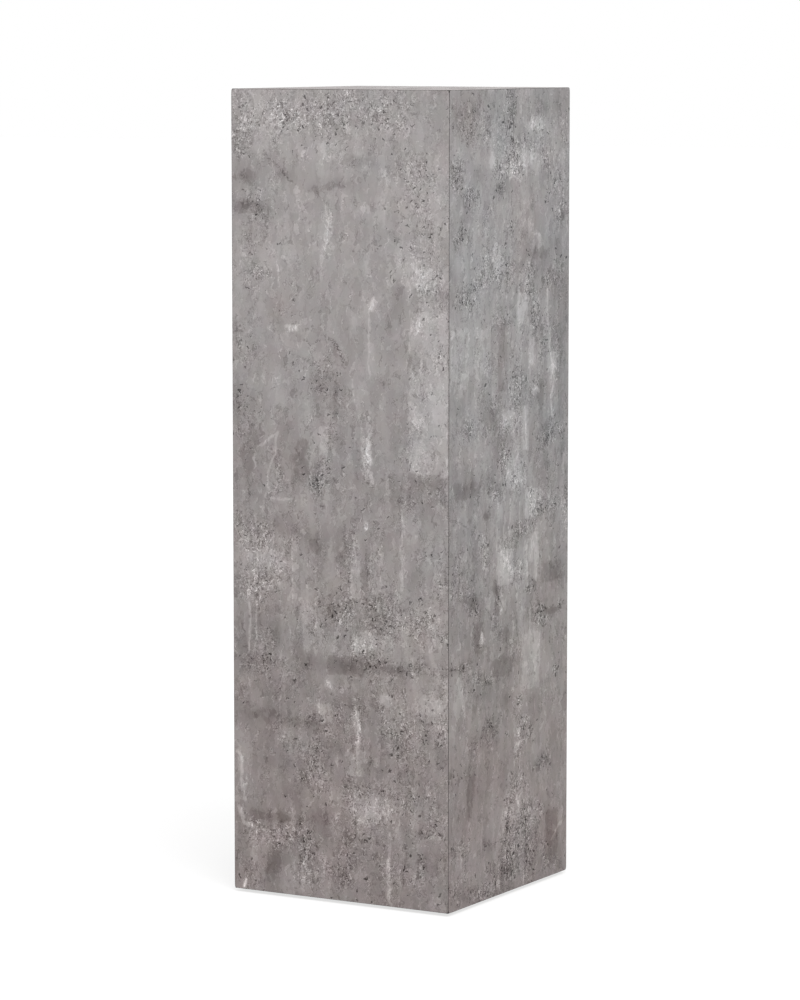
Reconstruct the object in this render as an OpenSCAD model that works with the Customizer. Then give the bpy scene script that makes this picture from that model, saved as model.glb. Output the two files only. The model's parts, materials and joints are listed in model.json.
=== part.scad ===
// Pillar side table: a tall square box of fibreboard panels faced with concrete-look laminate.
// The panels meet in biscuited mitres, and battens, a stiffener and a base board brace them inside.
// Origin at the centre of the footprint on the floor, +Z up, front face towards -Y.

/* [Pillar] */
// Width across the outside of the laminate
pillar_w = 304; // [250:1:400]
// Depth across the outside of the laminate
pillar_d = 304; // [250:1:400]
// Height of the table top above the floor
pillar_h = 990; // [600:1:1200]

/* [Panels] */
// Thickness of the fibreboard cores
core_t = 15; // [14:0.5:22]
// Thickness of the laminate sheets
laminate_t = 0.8; // [0.7:0.1:1.5]
// How far the outer edges of the laminate are eased back on each face
ease = 0.45; // [0.3:0.05:0.6]

/* [Base] */
// Thickness of the base board
base_t = 15; // [12:0.5:22]
// How far the base board sits up from the lower edges of the sides
base_recess = 2; // [1:0.5:4]
// Gap all round the base board
base_gap = 0.5; // [0.3:0.1:0.9]
// Screws along each edge of the base board
screws_per_edge = 2; // [1:1:3]

/* [Battens] */
// Width of the square blocks in the corners
block_w = 22; // [18:1:28]
// Width planed off the glued corner of each block, to clear squeezed-out glue
glue_relief = 3; // [2:0.5:5]
// Width of the square cleats round the base and under the top
cleat_w = 18; // [15:1:24]
// Gap between the ends of a cleat and the corner blocks
cleat_gap = 0.5; // [0.2:0.1:0.9]
// Thickness of the stiffener at mid height
stiffener_t = 12; // [9:0.5:19]
// Gap all round the stiffener
stiffener_gap = 0.5; // [0.2:0.1:0.9]

/* [Biscuits] */
// Length of a biscuit along the joint
biscuit_l = 47; // [44:1:50]
// Width of a biscuit across the joint
biscuit_w = 15; // [13:0.5:16]
// Thickness of a biscuit
biscuit_t = 4; // [3.5:0.1:4.2]
// Depth of a biscuit's centre from the inner face of the board
biscuit_inset = 5; // [4:0.5:5.5]
// Biscuits in each upright corner
biscuits_per_corner = 5; // [3:1:6]
// Biscuits in each edge of the top
biscuits_per_top_edge = 2; // [1:1:3]
// Radius of the disc that cuts the slots
cutter_r = 50; // [48:1:52]
// Depth of a slot beyond half the biscuit
slot_spare = 0.5; // [0.3:0.1:0.8]
// Clearance on each face of a biscuit
slot_play = 0.05; // [0.03:0.01:0.1]

/* [Glides] */
// Diameter of a glide
glide_d = 24; // [20:1:30]
// Height of a glide
glide_h = 6; // [5.5:0.5:9]
// Distance from the base board's edge to a glide's centre
glide_inset = 22; // [18:1:40]
// Radius of the rounded rim of a glide's foot
glide_rim = 2; // [1:0.5:2.5]
// Height of the screw's head above the floor
glide_seat = 1.8; // [1.5:0.1:2.2]

/* [Screws] */
// Diameter of the screws in the base board
base_screw_d = 4; // [3.5:0.5:4.5]
// Length of the screws in the base board
base_screw_l = 28; // [26:1:29]
// Head diameter of the screws in the base board
base_screw_head_d = 7.6; // [7:0.2:9]
// Diameter of the screws in the glides
glide_screw_d = 3.5; // [3:0.5:4]
// Length of the screws in the glides
glide_screw_l = 14; // [12:1:15]
// Head diameter of the screws in the glides
glide_screw_head_d = 6.8; // [6:0.2:7.4]
// Clearance between a screw and the hole round it
screw_play = 0.05; // [0.03:0.01:0.1]

/* [Hidden] */
$fn = 64;

// Corners are named by the side whose right-hand end they are at: "front" is the front right corner
SIDES = ["front", "right", "back", "left"];

lower_z = glide_h - base_recess;
skin_h = pillar_h - lower_z;
core_w = pillar_w - 2 * laminate_t;
core_d = pillar_d - 2 * laminate_t;
core_top_z = pillar_h - laminate_t;
core_h = core_top_z - lower_z;
inner_w = core_w - 2 * core_t;
inner_d = core_d - 2 * core_t;
base_top_z = glide_h + base_t;
top_under_z = core_top_z - core_t;
stiffener_z = (base_top_z + top_under_z - stiffener_t) / 2;
screw_rim = 0.4;
recess_l = 4;
recess_w = 0.9;
recess_depth = 1.5;
cut_past = 1;

laminate_colour = [0.60, 0.585, 0.575];
fibreboard_colour = [0.62, 0.50, 0.38];
softwood_colour = [0.83, 0.70, 0.50];
beech_colour = [0.80, 0.64, 0.46];
zinc_colour = [0.74, 0.75, 0.76];
glide_colour = [0.12, 0.12, 0.12];

// Quarter turns from the front round to a side
function turns(side) = search([side], SIDES)[0];
function side_before(side) = SIDES[(turns(side) + 3) % 4];
function runs_across(side) = turns(side) % 2 == 0;
function side_length(side, w, d) = runs_across(side) ? w : d;
function side_reach(side, w, d) = (runs_across(side) ? d : w) / 2;
function spaced(count, span) = [for (k = [0 : count - 1]) span * ((k + 0.5) / count - 0.5)];

// Stands its children against one side of a w by d box: x along the side, y = 0 on its outer face
module on_side(side, w, d) {
    rotate([0, 0, 90 * turns(side)]) translate([0, -side_reach(side, w, d), 0]) children();
}

// Standing board, outer face at y = 0, mitred at both ends and along its top
module mitred_side(w, h, t) {
    intersection() {
        linear_extrude(h) polygon([[-w / 2, 0], [w / 2, 0], [w / 2 - t, t], [t - w / 2, t]]);
        rotate([90, 0, 90])
            linear_extrude(w, center = true) polygon([[0, 0], [t, 0], [t, h - t], [0, h]]);
    }
}

// Lying board, outer face up at z = 0, mitred along all four edges
module mitred_top(w, d, t) {
    intersection() {
        rotate([90, 0, 0])
            linear_extrude(d, center = true)
                polygon([[-w / 2, 0], [w / 2, 0], [w / 2 - t, -t], [t - w / 2, -t]]);
        rotate([90, 0, 90])
            linear_extrude(w, center = true)
                polygon([[-d / 2, 0], [d / 2, 0], [d / 2 - t, -t], [t - d / 2, -t]]);
    }
}

module cut_corner_rectangle(x, y, c) {
    polygon([
        [c - x / 2, -y / 2], [x / 2 - c, -y / 2], [x / 2, c - y / 2], [x / 2, y / 2 - c],
        [x / 2 - c, y / 2], [c - x / 2, y / 2], [-x / 2, y / 2 - c], [-x / 2, c - y / 2]
    ]);
}

// The whole outside of the pillar, with every edge eased
module eased_outside() {
    translate([0, 0, lower_z + skin_h / 2]) intersection() {
        linear_extrude(skin_h, center = true) cut_corner_rectangle(pillar_w, pillar_d, ease);
        rotate([90, 0, 0])
            linear_extrude(pillar_d, center = true) cut_corner_rectangle(pillar_w, skin_h, ease);
        rotate([90, 0, 90])
            linear_extrude(pillar_w, center = true) cut_corner_rectangle(pillar_d, skin_h, ease);
    }
}

// A joint's frame: the mitre is the plane x = 0, the board being cut is at x < 0, z runs along the joint
module corner_joint(side, z) {
    on_side(side, core_w, core_d)
        translate([side_length(side, core_w, core_d) / 2, 0, z])
            translate([biscuit_inset - core_t, core_t - biscuit_inset, 0])
                rotate([0, 0, 45]) children();
}

module top_joint(side, x) {
    on_side(side, core_w, core_d)
        translate([x, core_t - biscuit_inset, core_top_z - core_t + biscuit_inset])
            rotate([45, 0, 0]) rotate([90, 0, 90]) children();
}

module corner_joints(side) {
    for (z = spaced(biscuits_per_corner, core_h)) corner_joint(side, lower_z + core_h / 2 + z) children();
}

module top_joints(side) {
    span = side_length(side, inner_w, inner_d);
    for (x = spaced(biscuits_per_top_edge, span)) top_joint(side, x) children();
}

module slot() {
    translate([cutter_r - biscuit_w / 2 - slot_spare, 0, 0])
        rotate([90, 0, 0]) cylinder(r = cutter_r, h = biscuit_t + 2 * slot_play, center = true);
}

module biscuit() {
    biscuit_r = (pow(biscuit_l, 2) + pow(biscuit_w, 2)) / (4 * biscuit_w);
    rotate([90, 0, 0]) intersection_for (way = [-1, 1])
        translate([way * (biscuit_r - biscuit_w / 2), 0, 0])
            cylinder(r = biscuit_r, h = biscuit_t, center = true);
}

// The slots that a side's own end needs are mirrored for the board that it meets
module side_core(side) {
    color(fibreboard_colour) difference() {
        on_side(side, core_w, core_d) translate([0, 0, lower_z])
            mitred_side(side_length(side, core_w, core_d), core_h, core_t);
        corner_joints(side) slot();
        corner_joints(side_before(side)) mirror([1, 0, 0]) slot();
        top_joints(side) slot();
    }
}

module top_core() {
    color(fibreboard_colour) difference() {
        translate([0, 0, core_top_z]) mitred_top(core_w, core_d, core_t);
        for (side = SIDES) top_joints(side) mirror([1, 0, 0]) slot();
    }
}

module side_laminate(side) {
    color(laminate_colour) intersection() {
        on_side(side, pillar_w, pillar_d) translate([0, 0, lower_z])
            mitred_side(side_length(side, pillar_w, pillar_d), skin_h, laminate_t);
        eased_outside();
    }
}

module top_laminate() {
    color(laminate_colour) intersection() {
        translate([0, 0, pillar_h]) mitred_top(pillar_w, pillar_d, laminate_t);
        eased_outside();
    }
}

module corner_block(corner, from_z, to_z) {
    color(softwood_colour) on_side(corner, inner_w, inner_d)
        translate([side_length(corner, inner_w, inner_d) / 2, 0, from_z])
            linear_extrude(to_z - from_z) polygon([
                [-glue_relief, 0], [-block_w, 0], [-block_w, block_w], [0, block_w], [0, glue_relief]
            ]);
}

module lower_block(corner) {
    corner_block(corner, base_top_z, stiffener_z);
}

module upper_block(corner) {
    corner_block(corner, stiffener_z + stiffener_t, top_under_z);
}

module cleat(side, z) {
    length = side_length(side, inner_w, inner_d) - 2 * (block_w + cleat_gap);
    on_side(side, inner_w, inner_d) translate([-length / 2, 0, z]) cube([length, cleat_w, cleat_w]);
}

// Places a child at every screw along the base cleats, pointing up from the underside of the base board
module at_base_screws(sides) {
    for (side = sides)
        for (x = spaced(screws_per_edge, side_length(side, inner_w, inner_d)))
            on_side(side, inner_w, inner_d) translate([x, cleat_w / 2, glide_h]) children();
}

module base_cleat(side) {
    color(softwood_colour) difference() {
        cleat(side, base_top_z);
        at_base_screws([side]) screw_hole(base_screw_d, base_screw_l, base_screw_head_d);
    }
}

module top_cleat(side) {
    color(softwood_colour) cleat(side, top_under_z - cleat_w);
}

module mid_stiffener() {
    stiffener_w = inner_w - 2 * stiffener_gap;
    stiffener_d = inner_d - 2 * stiffener_gap;
    color(fibreboard_colour) translate([-stiffener_w / 2, -stiffener_d / 2, stiffener_z])
        cube([stiffener_w, stiffener_d, stiffener_t]);
}

module at_glide(corner) {
    across = [1, 1, -1, -1][turns(corner)] * (inner_w / 2 - base_gap - glide_inset);
    along = [-1, 1, 1, -1][turns(corner)] * (inner_d / 2 - base_gap - glide_inset);
    translate([across, along, 0]) children();
}

module base_board() {
    board_w = inner_w - 2 * base_gap;
    board_d = inner_d - 2 * base_gap;
    color(fibreboard_colour) difference() {
        translate([-board_w / 2, -board_d / 2, glide_h]) cube([board_w, board_d, base_t]);
        at_base_screws(SIDES) screw_hole(base_screw_d, base_screw_l, base_screw_head_d);
        for (corner = SIDES) at_glide(corner) translate([0, 0, glide_seat])
            screw_hole(glide_screw_d, glide_screw_l, glide_screw_head_d);
    }
}

// Outline of a countersunk screw, head down at z = 0, grown by play on every side
function screw_outline(d, l, head_d, play) = [
    [0, -play], [head_d / 2 + play, -play], [head_d / 2 + play, screw_rim],
    [d / 2 + play, screw_rim + (head_d - d) / 2], [d / 2 + play, l - d], [play, l + play], [0, l + play]
];

module screw_hole(d, l, head_d) {
    rotate_extrude() polygon(screw_outline(d, l, head_d, screw_play));
    translate([0, 0, -cut_past]) cylinder(d = head_d + 2 * screw_play, h = cut_past + screw_play);
}

module screw(d, l, head_d) {
    difference() {
        rotate_extrude() polygon([
            [0, 0], [head_d / 2, 0], [head_d / 2, screw_rim],
            [d / 2, screw_rim + (head_d - d) / 2], [d / 2, l - d], [0, l]
        ]);
        for (turn = [0, 90]) rotate([0, 0, turn])
            translate([-recess_l / 2, -recess_w / 2, -cut_past])
                cube([recess_l, recess_w, recess_depth + cut_past]);
    }
}

module glide(corner) {
    bore_r = glide_screw_d / 2 + screw_play;
    seat_r = glide_screw_head_d / 2 + screw_play;
    seat_top = glide_seat + screw_rim + seat_r - bore_r;
    rim = [for (a = [0 : 15 : 90])
        [glide_d / 2 - glide_rim + glide_rim * sin(a), glide_rim - glide_rim * cos(a)]];
    color(glide_colour) at_glide(corner) rotate_extrude() polygon(concat(
        [[seat_r, 0]], rim,
        [[glide_d / 2, glide_h], [bore_r, glide_h], [bore_r, seat_top], [seat_r, glide_seat + screw_rim]]
    ));
}

module glide_screws() {
    color(zinc_colour) for (corner = SIDES) at_glide(corner) translate([0, 0, glide_seat])
        screw(glide_screw_d, glide_screw_l, glide_screw_head_d);
}

module base_screws() {
    color(zinc_colour) at_base_screws(SIDES) screw(base_screw_d, base_screw_l, base_screw_head_d);
}

module corner_biscuits() {
    color(beech_colour) for (corner = SIDES) corner_joints(corner) biscuit();
}

module top_biscuits() {
    color(beech_colour) for (side = SIDES) top_joints(side) biscuit();
}

side_core("front");  // front_core
side_core("right");  // right_core
side_core("back");  // back_core
side_core("left");  // left_core
top_core();
side_laminate("front");  // front_laminate
side_laminate("right");  // right_laminate
side_laminate("back");  // back_laminate
side_laminate("left");  // left_laminate
top_laminate();
lower_block("front");  // lower_block_front_right
lower_block("right");  // lower_block_back_right
lower_block("back");  // lower_block_back_left
lower_block("left");  // lower_block_front_left
upper_block("front");  // upper_block_front_right
upper_block("right");  // upper_block_back_right
upper_block("back");  // upper_block_back_left
upper_block("left");  // upper_block_front_left
base_cleat("front");  // base_cleat_front
base_cleat("right");  // base_cleat_right
base_cleat("back");  // base_cleat_back
base_cleat("left");  // base_cleat_left
top_cleat("front");  // top_cleat_front
top_cleat("right");  // top_cleat_right
top_cleat("back");  // top_cleat_back
top_cleat("left");  // top_cleat_left
mid_stiffener();
base_board();
corner_biscuits();
top_biscuits();
base_screws();
glide("front");  // glide_front_right
glide("right");  // glide_back_right
glide("back");  // glide_back_left
glide("left");  // glide_front_left
glide_screws();
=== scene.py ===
import json
import math
import bpy
import numpy as np
from mathutils import Matrix, Vector


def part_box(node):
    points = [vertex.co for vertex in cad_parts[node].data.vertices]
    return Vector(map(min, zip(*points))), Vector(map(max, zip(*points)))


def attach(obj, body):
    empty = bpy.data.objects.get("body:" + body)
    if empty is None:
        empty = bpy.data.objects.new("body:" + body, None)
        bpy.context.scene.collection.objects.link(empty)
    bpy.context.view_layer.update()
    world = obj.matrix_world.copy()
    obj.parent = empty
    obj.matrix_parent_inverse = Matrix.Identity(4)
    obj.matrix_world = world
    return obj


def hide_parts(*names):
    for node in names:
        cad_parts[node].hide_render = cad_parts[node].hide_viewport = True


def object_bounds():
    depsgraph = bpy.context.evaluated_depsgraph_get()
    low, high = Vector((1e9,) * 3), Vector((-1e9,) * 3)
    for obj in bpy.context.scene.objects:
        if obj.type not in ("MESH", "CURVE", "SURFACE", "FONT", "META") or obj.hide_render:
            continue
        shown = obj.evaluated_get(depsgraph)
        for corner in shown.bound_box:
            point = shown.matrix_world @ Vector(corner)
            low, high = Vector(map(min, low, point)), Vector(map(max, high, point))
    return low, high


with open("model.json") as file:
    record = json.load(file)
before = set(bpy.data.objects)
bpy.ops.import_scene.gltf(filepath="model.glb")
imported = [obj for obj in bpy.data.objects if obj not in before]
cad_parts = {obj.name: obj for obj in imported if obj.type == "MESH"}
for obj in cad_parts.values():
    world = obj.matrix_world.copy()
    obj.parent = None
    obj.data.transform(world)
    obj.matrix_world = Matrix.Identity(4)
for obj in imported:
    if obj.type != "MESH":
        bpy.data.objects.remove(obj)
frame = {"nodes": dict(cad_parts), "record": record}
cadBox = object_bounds()
mm = 0.001
perMetre = 1000              # millimetres
whiteLevel = 255
displayPower = 2.2           # from a level as it looks to a linear one


# A node socket that works in plain maths: each sign adds a Math node
class Value:
    def __init__(self, web, socket):
        self.web = web
        self.socket = socket

    def math(self, operation, *others):
        return self.web.node("ShaderNodeMath", {"operation": operation}, dict(enumerate((self, *others))))

    def __add__(self, other):
        return self.math("ADD", other)

    def __sub__(self, other):
        return self.math("SUBTRACT", other)

    def __rsub__(self, other):
        return self.math("MULTIPLY_ADD", -1, other)

    def __mul__(self, other):
        return self.math("MULTIPLY", other)

    def __rmul__(self, other):
        return self.math("MULTIPLY", other)

    def __truediv__(self, other):
        return self.math("DIVIDE", other)

    def __pow__(self, other):
        return self.math("POWER", other)

    def __abs__(self):
        return self.math("ABSOLUTE")

    def atLeast(self, other):
        return self.math("MAXIMUM", other)

    def atMost(self, other):
        return self.math("MINIMUM", other)

    # 0 below low, 1 above high, smooth between; low may be the larger one
    def step(self, low, high):
        settings = {"interpolation_type": "SMOOTHSTEP", "clamp": True}
        return self.web.node("ShaderNodeMapRange", settings, {0: self, 1: low, 2: high, 3: 0.0, 4: 1.0})

    def output(self, name):
        return Value(self.web, self.socket.node.outputs[name])


# A node tree, shader or geometry, with the few calls that build it
class Web:
    def __init__(self, tree):
        self.tree = tree

    def node(self, kind, settings=None, sockets=None, output=0):
        made = self.tree.nodes.new(kind)
        for name, setting in (settings or {}).items():
            setattr(made, name, setting)
        for key, item in (sockets or {}).items():
            if isinstance(item, Value):
                self.tree.links.new(item.socket, made.inputs[key])
            elif isinstance(item, list):
                for each in item:
                    self.tree.links.new(each.socket, made.inputs[key])
            else:
                made.inputs[key].default_value = item
        return Value(self, made.outputs[output])

    def vectorMath(self, operation, *vectors):
        return self.node("ShaderNodeVectorMath", {"operation": operation}, dict(enumerate(vectors)))

    def combine(self, x, y, z=0.0):
        return self.node("ShaderNodeCombineXYZ", None, {0: x, 1: y, 2: z})

    def parts(self, vector):
        first = self.node("ShaderNodeSeparateXYZ", None, {0: vector})
        return first, first.output("Y"), first.output("Z")

    def mix(self, amount, first, second):
        return self.node("ShaderNodeMix", {"data_type": "FLOAT"}, {0: amount, 2: first, 3: second})

    def mixColour(self, amount, first, second):
        return self.node("ShaderNodeMix", {"data_type": "RGBA"}, {0: amount, 6: first, 7: second}, 2)

    # The look's first colour with others laid over it, each by its own amount
    def layered(self, look, first, *layers):
        colour = paint(look[first])
        for amount, name in layers:
            colour = self.mixColour(amount, colour, paint(look[name]))
        return colour

    # A place counted in a pattern's own size, shifted by its seed
    def spot(self, place, size, stretch, seed):
        scale = tuple(1 / (size * s) for s in stretch)
        return self.vectorMath("MULTIPLY_ADD", place, scale, (seed, seed * 1.7, seed * 0.6))

    # Noise from 0 to 1 whose largest lumps are about size across, stretched along each axis
    def noise(self, place, size, detail, rough, stretch=(1, 1, 1), seed=0.0, flat=False, bend=0.0):
        sockets = {"Vector": self.spot(place, size, stretch, seed), "Scale": 1.0,
                   "Detail": detail, "Roughness": rough, "Distortion": bend}
        return self.node("ShaderNodeTexNoise", {"noise_dimensions": "2D" if flat else "3D"}, sockets)

    def cells(self, place, size, stretch=(1, 1, 1), seed=0.0, flat=False):
        sockets = {"Vector": self.spot(place, size, stretch, seed), "Scale": 1.0, "Randomness": 1.0}
        return self.node("ShaderNodeTexVoronoi", {"voronoi_dimensions": "2D" if flat else "3D"}, sockets)

    def bump(self, strength, depth, height):
        return self.node("ShaderNodeBump", None, {"Strength": strength, "Distance": depth, "Height": height})

    def attribute(self, name, output="Fac"):
        return self.node("ShaderNodeAttribute", {"attribute_name": name}, None, output)

    # The object's own coordinates, in millimetres
    def place(self):
        own = self.node("ShaderNodeTexCoord", None, None, "Object")
        return self.vectorMath("MULTIPLY", own, (perMetre, perMetre, perMetre))


# A colour as it looks, each part from 0 to 255, made linear, with an alpha
def paint(colour):
    return tuple((part / whiteLevel) ** displayPower for part in colour) + (1.0,)


def newMaterial(name, **constants):
    material = bpy.data.materials.new(name)
    material.use_nodes = True
    tree = material.node_tree
    shader = tree.nodes["Principled BSDF"]
    for socket, value in constants.items():
        shader.inputs[socket.replace("_", " ")].default_value = value
    return material, Web(tree), shader


def feed(web, shader, **links):
    for socket, value in links.items():
        web.tree.links.new(value.socket, shader.inputs[socket.replace("_", " ")])


def newGeometryTree(name, inputs):
    tree = bpy.data.node_groups.new(name, "GeometryNodeTree")
    tree.interface.new_socket("Geometry", in_out="INPUT", socket_type="NodeSocketGeometry")
    for label, kind in inputs.items():
        tree.interface.new_socket(label, in_out="INPUT", socket_type="NodeSocket" + kind)
    tree.interface.new_socket("Geometry", in_out="OUTPUT", socket_type="NodeSocketGeometry")
    web = Web(tree)
    points = web.node("NodeGroupInput")
    return web, points, {label: points.output(label) for label in inputs}


# Ends a geometry tree: instances made real, then the material
def endTree(web, geometry, material):
    real = web.node("GeometryNodeRealizeInstances", None, {0: geometry})
    dressed = web.node("GeometryNodeSetMaterial", None, {0: real, "Material": material})
    out = web.tree.nodes.new("NodeGroupOutput")
    web.tree.links.new(dressed.socket, out.inputs[0])


# Runs a geometry tree with the given sizes on the given points, and returns its result as a plain mesh
def grow(name, tree, sizes, points=()):
    base = bpy.data.meshes.new(name)
    base.from_pydata(list(points), [], [])
    holder = bpy.data.objects.new(name, base)
    bpy.context.scene.collection.objects.link(holder)
    modifier = holder.modifiers.new(name, "NODES")
    modifier.node_group = tree
    for item in tree.interface.items_tree:
        if item.in_out == "INPUT" and item.name in sizes:
            modifier[item.identifier] = sizes[item.name]
    graph = bpy.context.evaluated_depsgraph_get()
    mesh = bpy.data.meshes.new_from_object(holder.evaluated_get(graph), depsgraph=graph)
    mesh.name = name
    bpy.data.objects.remove(holder)
    return mesh


def addPiece(name, mesh, slot, *nodes):
    piece = bpy.data.objects.new(name, mesh)
    bpy.context.scene.collection.objects.link(piece)
    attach(piece, "root")
    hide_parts(*nodes)


# Sizes from the frame
def nodeSize(node):
    low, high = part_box(node)
    return [high[i] - low[i] for i in range(3)]


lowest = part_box("front_laminate")[0][2]
highest = cadBox[1][2]
body = {
    "width": cadBox[1][0] - cadBox[0][0],
    "depth": cadBox[1][1] - cadBox[0][1],
    "height": highest - lowest,
    "sheet": nodeSize("front_laminate")[1],
}
print("body", {name: round(size, 5) for name, size in body.items()})


# The laminate sheets: one eased, slightly worn panel for each face
sheetShape = {
    "easing": 0.45 * mm,     # radius at the long edges
    "easingWander": 0.18 * mm,
    "wanderSize": 14.0,      # millimetres, as in the other patterns
    "tip": 1.6 * mm,         # radius where three sheets meet
    "tipReach": 5.0 * mm,
    "chip": 0.9 * mm,        # how much wider the easing gets at a chip
    "chipSize": 6.0,
    "chipBounds": (0.66, 0.78),
    "spacing": 2.1 * mm,
    "border": 2.0 * mm,      # a strip along each edge with closer rows
    "borderRows": 7,
    "borderPower": 1.6,      # how fast its rows close up to the edge
    "weld": 0.01 * mm,
    "apart": 50.0,           # millimetres between the patterns of two sheets
    "sharpFrom": 40,         # degrees
}


def buildSheetTree(material, shape):
    web, _, size = newGeometryTree("easedSheet", {
        "Width": "Float", "Height": "Float", "Thickness": "Float", "Foot Inset": "Float",
        "Columns": "Int", "Rows": "Int", "Border": "Float", "Border Rows": "Int",
        "Easing": "Float", "Wander": "Float", "Tip": "Float", "Tip Reach": "Float", "Chip": "Float",
        "Sheet": "Float"})
    grid = web.node("GeometryNodeMeshGrid", None, {
        0: 1.0, 1: 1.0, 2: size["Columns"], 3: size["Rows"]})
    x, y, _ = web.parts(web.node("GeometryNodeInputPosition"))

    # Distance of a grid line from its nearer edge: close rows in the border, even ones past it
    def inFromEdge(place, lines, length):
        last = lines - 1
        line = (0.5 - abs(place)) * last
        step = (length - 2 * size["Border"]) / (last - 2 * size["Border Rows"])
        share = line.atMost(size["Border Rows"]) / size["Border Rows"]
        close = size["Border"] * share ** shape["borderPower"]
        return close + (line - size["Border Rows"]).atLeast(0.0) * step

    across = inFromEdge(x, size["Columns"], size["Width"])
    along = inFromEdge(y, size["Rows"], size["Height"])
    side = x.math("SIGN")
    end = y.math("SIGN")
    flatX = side * (size["Width"] / 2 - across)
    flatY = end * (size["Height"] / 2 - along)

    # The easing: its radius wanders, grows at the tips and at chips
    spot = web.combine(flatX * perMetre, flatY * perMetre, size["Sheet"] * shape["apart"])
    wander = web.noise(spot, shape["wanderSize"], 3, 0.6) - 0.5
    chipped = web.noise(spot, shape["chipSize"], 2, 0.5, seed=9).step(*shape["chipBounds"])
    tipAway = (across * across + along * along).math("SQRT")
    worn = tipAway.step(size["Tip Reach"], size["Tip Reach"] * 0.15)
    radius = size["Easing"] + wander * 2 * size["Wander"] + chipped * size["Chip"]
    radius = web.mix(worn, radius, size["Tip"])

    def tilt(inward):
        angle = (1 - inward / radius).atLeast(0.0) * (math.pi / 4)
        return angle.math("TANGENT")

    tiltX = tilt(across)
    tiltY = tilt(along)
    reach = (tiltX * tiltX + tiltY * tiltY + 1).math("SQRT")
    newAcross = across.atLeast(radius) - radius * tiltX / reach
    newAlong = along.atLeast(radius) - radius * tiltY / reach
    depth = radius - radius / reach
    placeX = side * (size["Width"] / 2 - newAcross)
    placeY = end * (size["Height"] / 2 - newAlong)

    def store(geometry, kind, name, value):
        settings = {"data_type": kind, "domain": "POINT"}
        sockets = {0: geometry, "Name": name, "Value": value}
        return web.node("GeometryNodeStoreNamedAttribute", settings, sockets)

    def recall(name):
        return web.node("GeometryNodeInputNamedAttribute", {"data_type": "FLOAT_VECTOR"}, {"Name": name})

    face = store(grid, "FLOAT_VECTOR", "flatAt", web.combine(flatX, flatY, size["Sheet"]))
    face = store(face, "FLOAT_VECTOR", "easedAt", web.combine(placeX, placeY, depth * -1))
    face = store(face, "FLOAT", "rim", across.atMost(along))
    face = store(face, "FLOAT", "worn", depth)
    face = web.node("GeometryNodeSetPosition", None, {0: face, "Position": recall("easedAt")})

    # The mitred edge: the outline drawn back to the inner face, then that face filled
    neighbours = web.node("GeometryNodeInputMeshEdgeNeighbors")
    settings = {"data_type": "INT", "operation": "EQUAL"}
    outline = web.node("FunctionNodeCompare", settings, {2: neighbours, 3: 1})
    sockets = {0: face, "Selection": outline, "Offset Scale": 0.0}
    drawn = web.node("GeometryNodeExtrudeMesh", {"mode": "EDGES"}, sockets)
    top = drawn.output("Top")
    backX, backY, _ = web.parts(recall("flatAt"))
    halfWidth = size["Width"] / 2 - size["Thickness"]
    halfHeight = size["Height"] / 2
    innerX = backX.atMost(halfWidth).atLeast(halfWidth * -1)
    innerY = backY.atMost(halfHeight - size["Thickness"]).atLeast(size["Foot Inset"] - halfHeight)
    inner = web.combine(innerX, innerY, size["Thickness"] * -1)
    edged = web.node("GeometryNodeSetPosition", None, {0: drawn, "Selection": top, "Position": inner})
    loop = web.node("GeometryNodeMeshToCurve", None, {0: edged, "Selection": top})
    filled = web.node("GeometryNodeFillCurve", {"mode": "TRIANGLES"}, {0: loop})
    sunk = web.combine(0.0, 0.0, size["Thickness"] * -1)
    filled = web.node("GeometryNodeSetPosition", None, {0: filled, "Offset": sunk})
    filled = web.node("GeometryNodeFlipFaces", None, {0: filled})
    joined = web.node("GeometryNodeJoinGeometry", None, {0: [edged, filled]})
    closed = web.node("GeometryNodeMergeByDistance", None, {0: joined, "Distance": shape["weld"]})
    endTree(web, closed, material)
    return web.tree


# Where each sheet stands: its local X and Y, from which its outward Z follows, and the middle of its face
middle = (lowest + highest) / 2
halfWidth = body["width"] / 2
halfDepth = body["depth"] / 2
sheets = {
    "front": {"axes": ((1, 0, 0), (0, 0, 1)), "centre": (0, -halfDepth, middle), "width": "width"},
    "right": {"axes": ((0, 1, 0), (0, 0, 1)), "centre": (halfWidth, 0, middle), "width": "depth"},
    "back": {"axes": ((-1, 0, 0), (0, 0, 1)), "centre": (0, halfDepth, middle), "width": "width"},
    "left": {"axes": ((0, -1, 0), (0, 0, 1)), "centre": (-halfWidth, 0, middle), "width": "depth"},
    "top": {"axes": ((1, 0, 0), (0, 1, 0)), "centre": (0, 0, highest), "width": "width"},
}


def placement(axes, centre):
    across, up = (Vector(axis) for axis in axes)
    turn = Matrix([across, up, across.cross(up)]).transposed().to_4x4()
    return Matrix.Translation(Vector(centre)) @ turn


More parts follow.
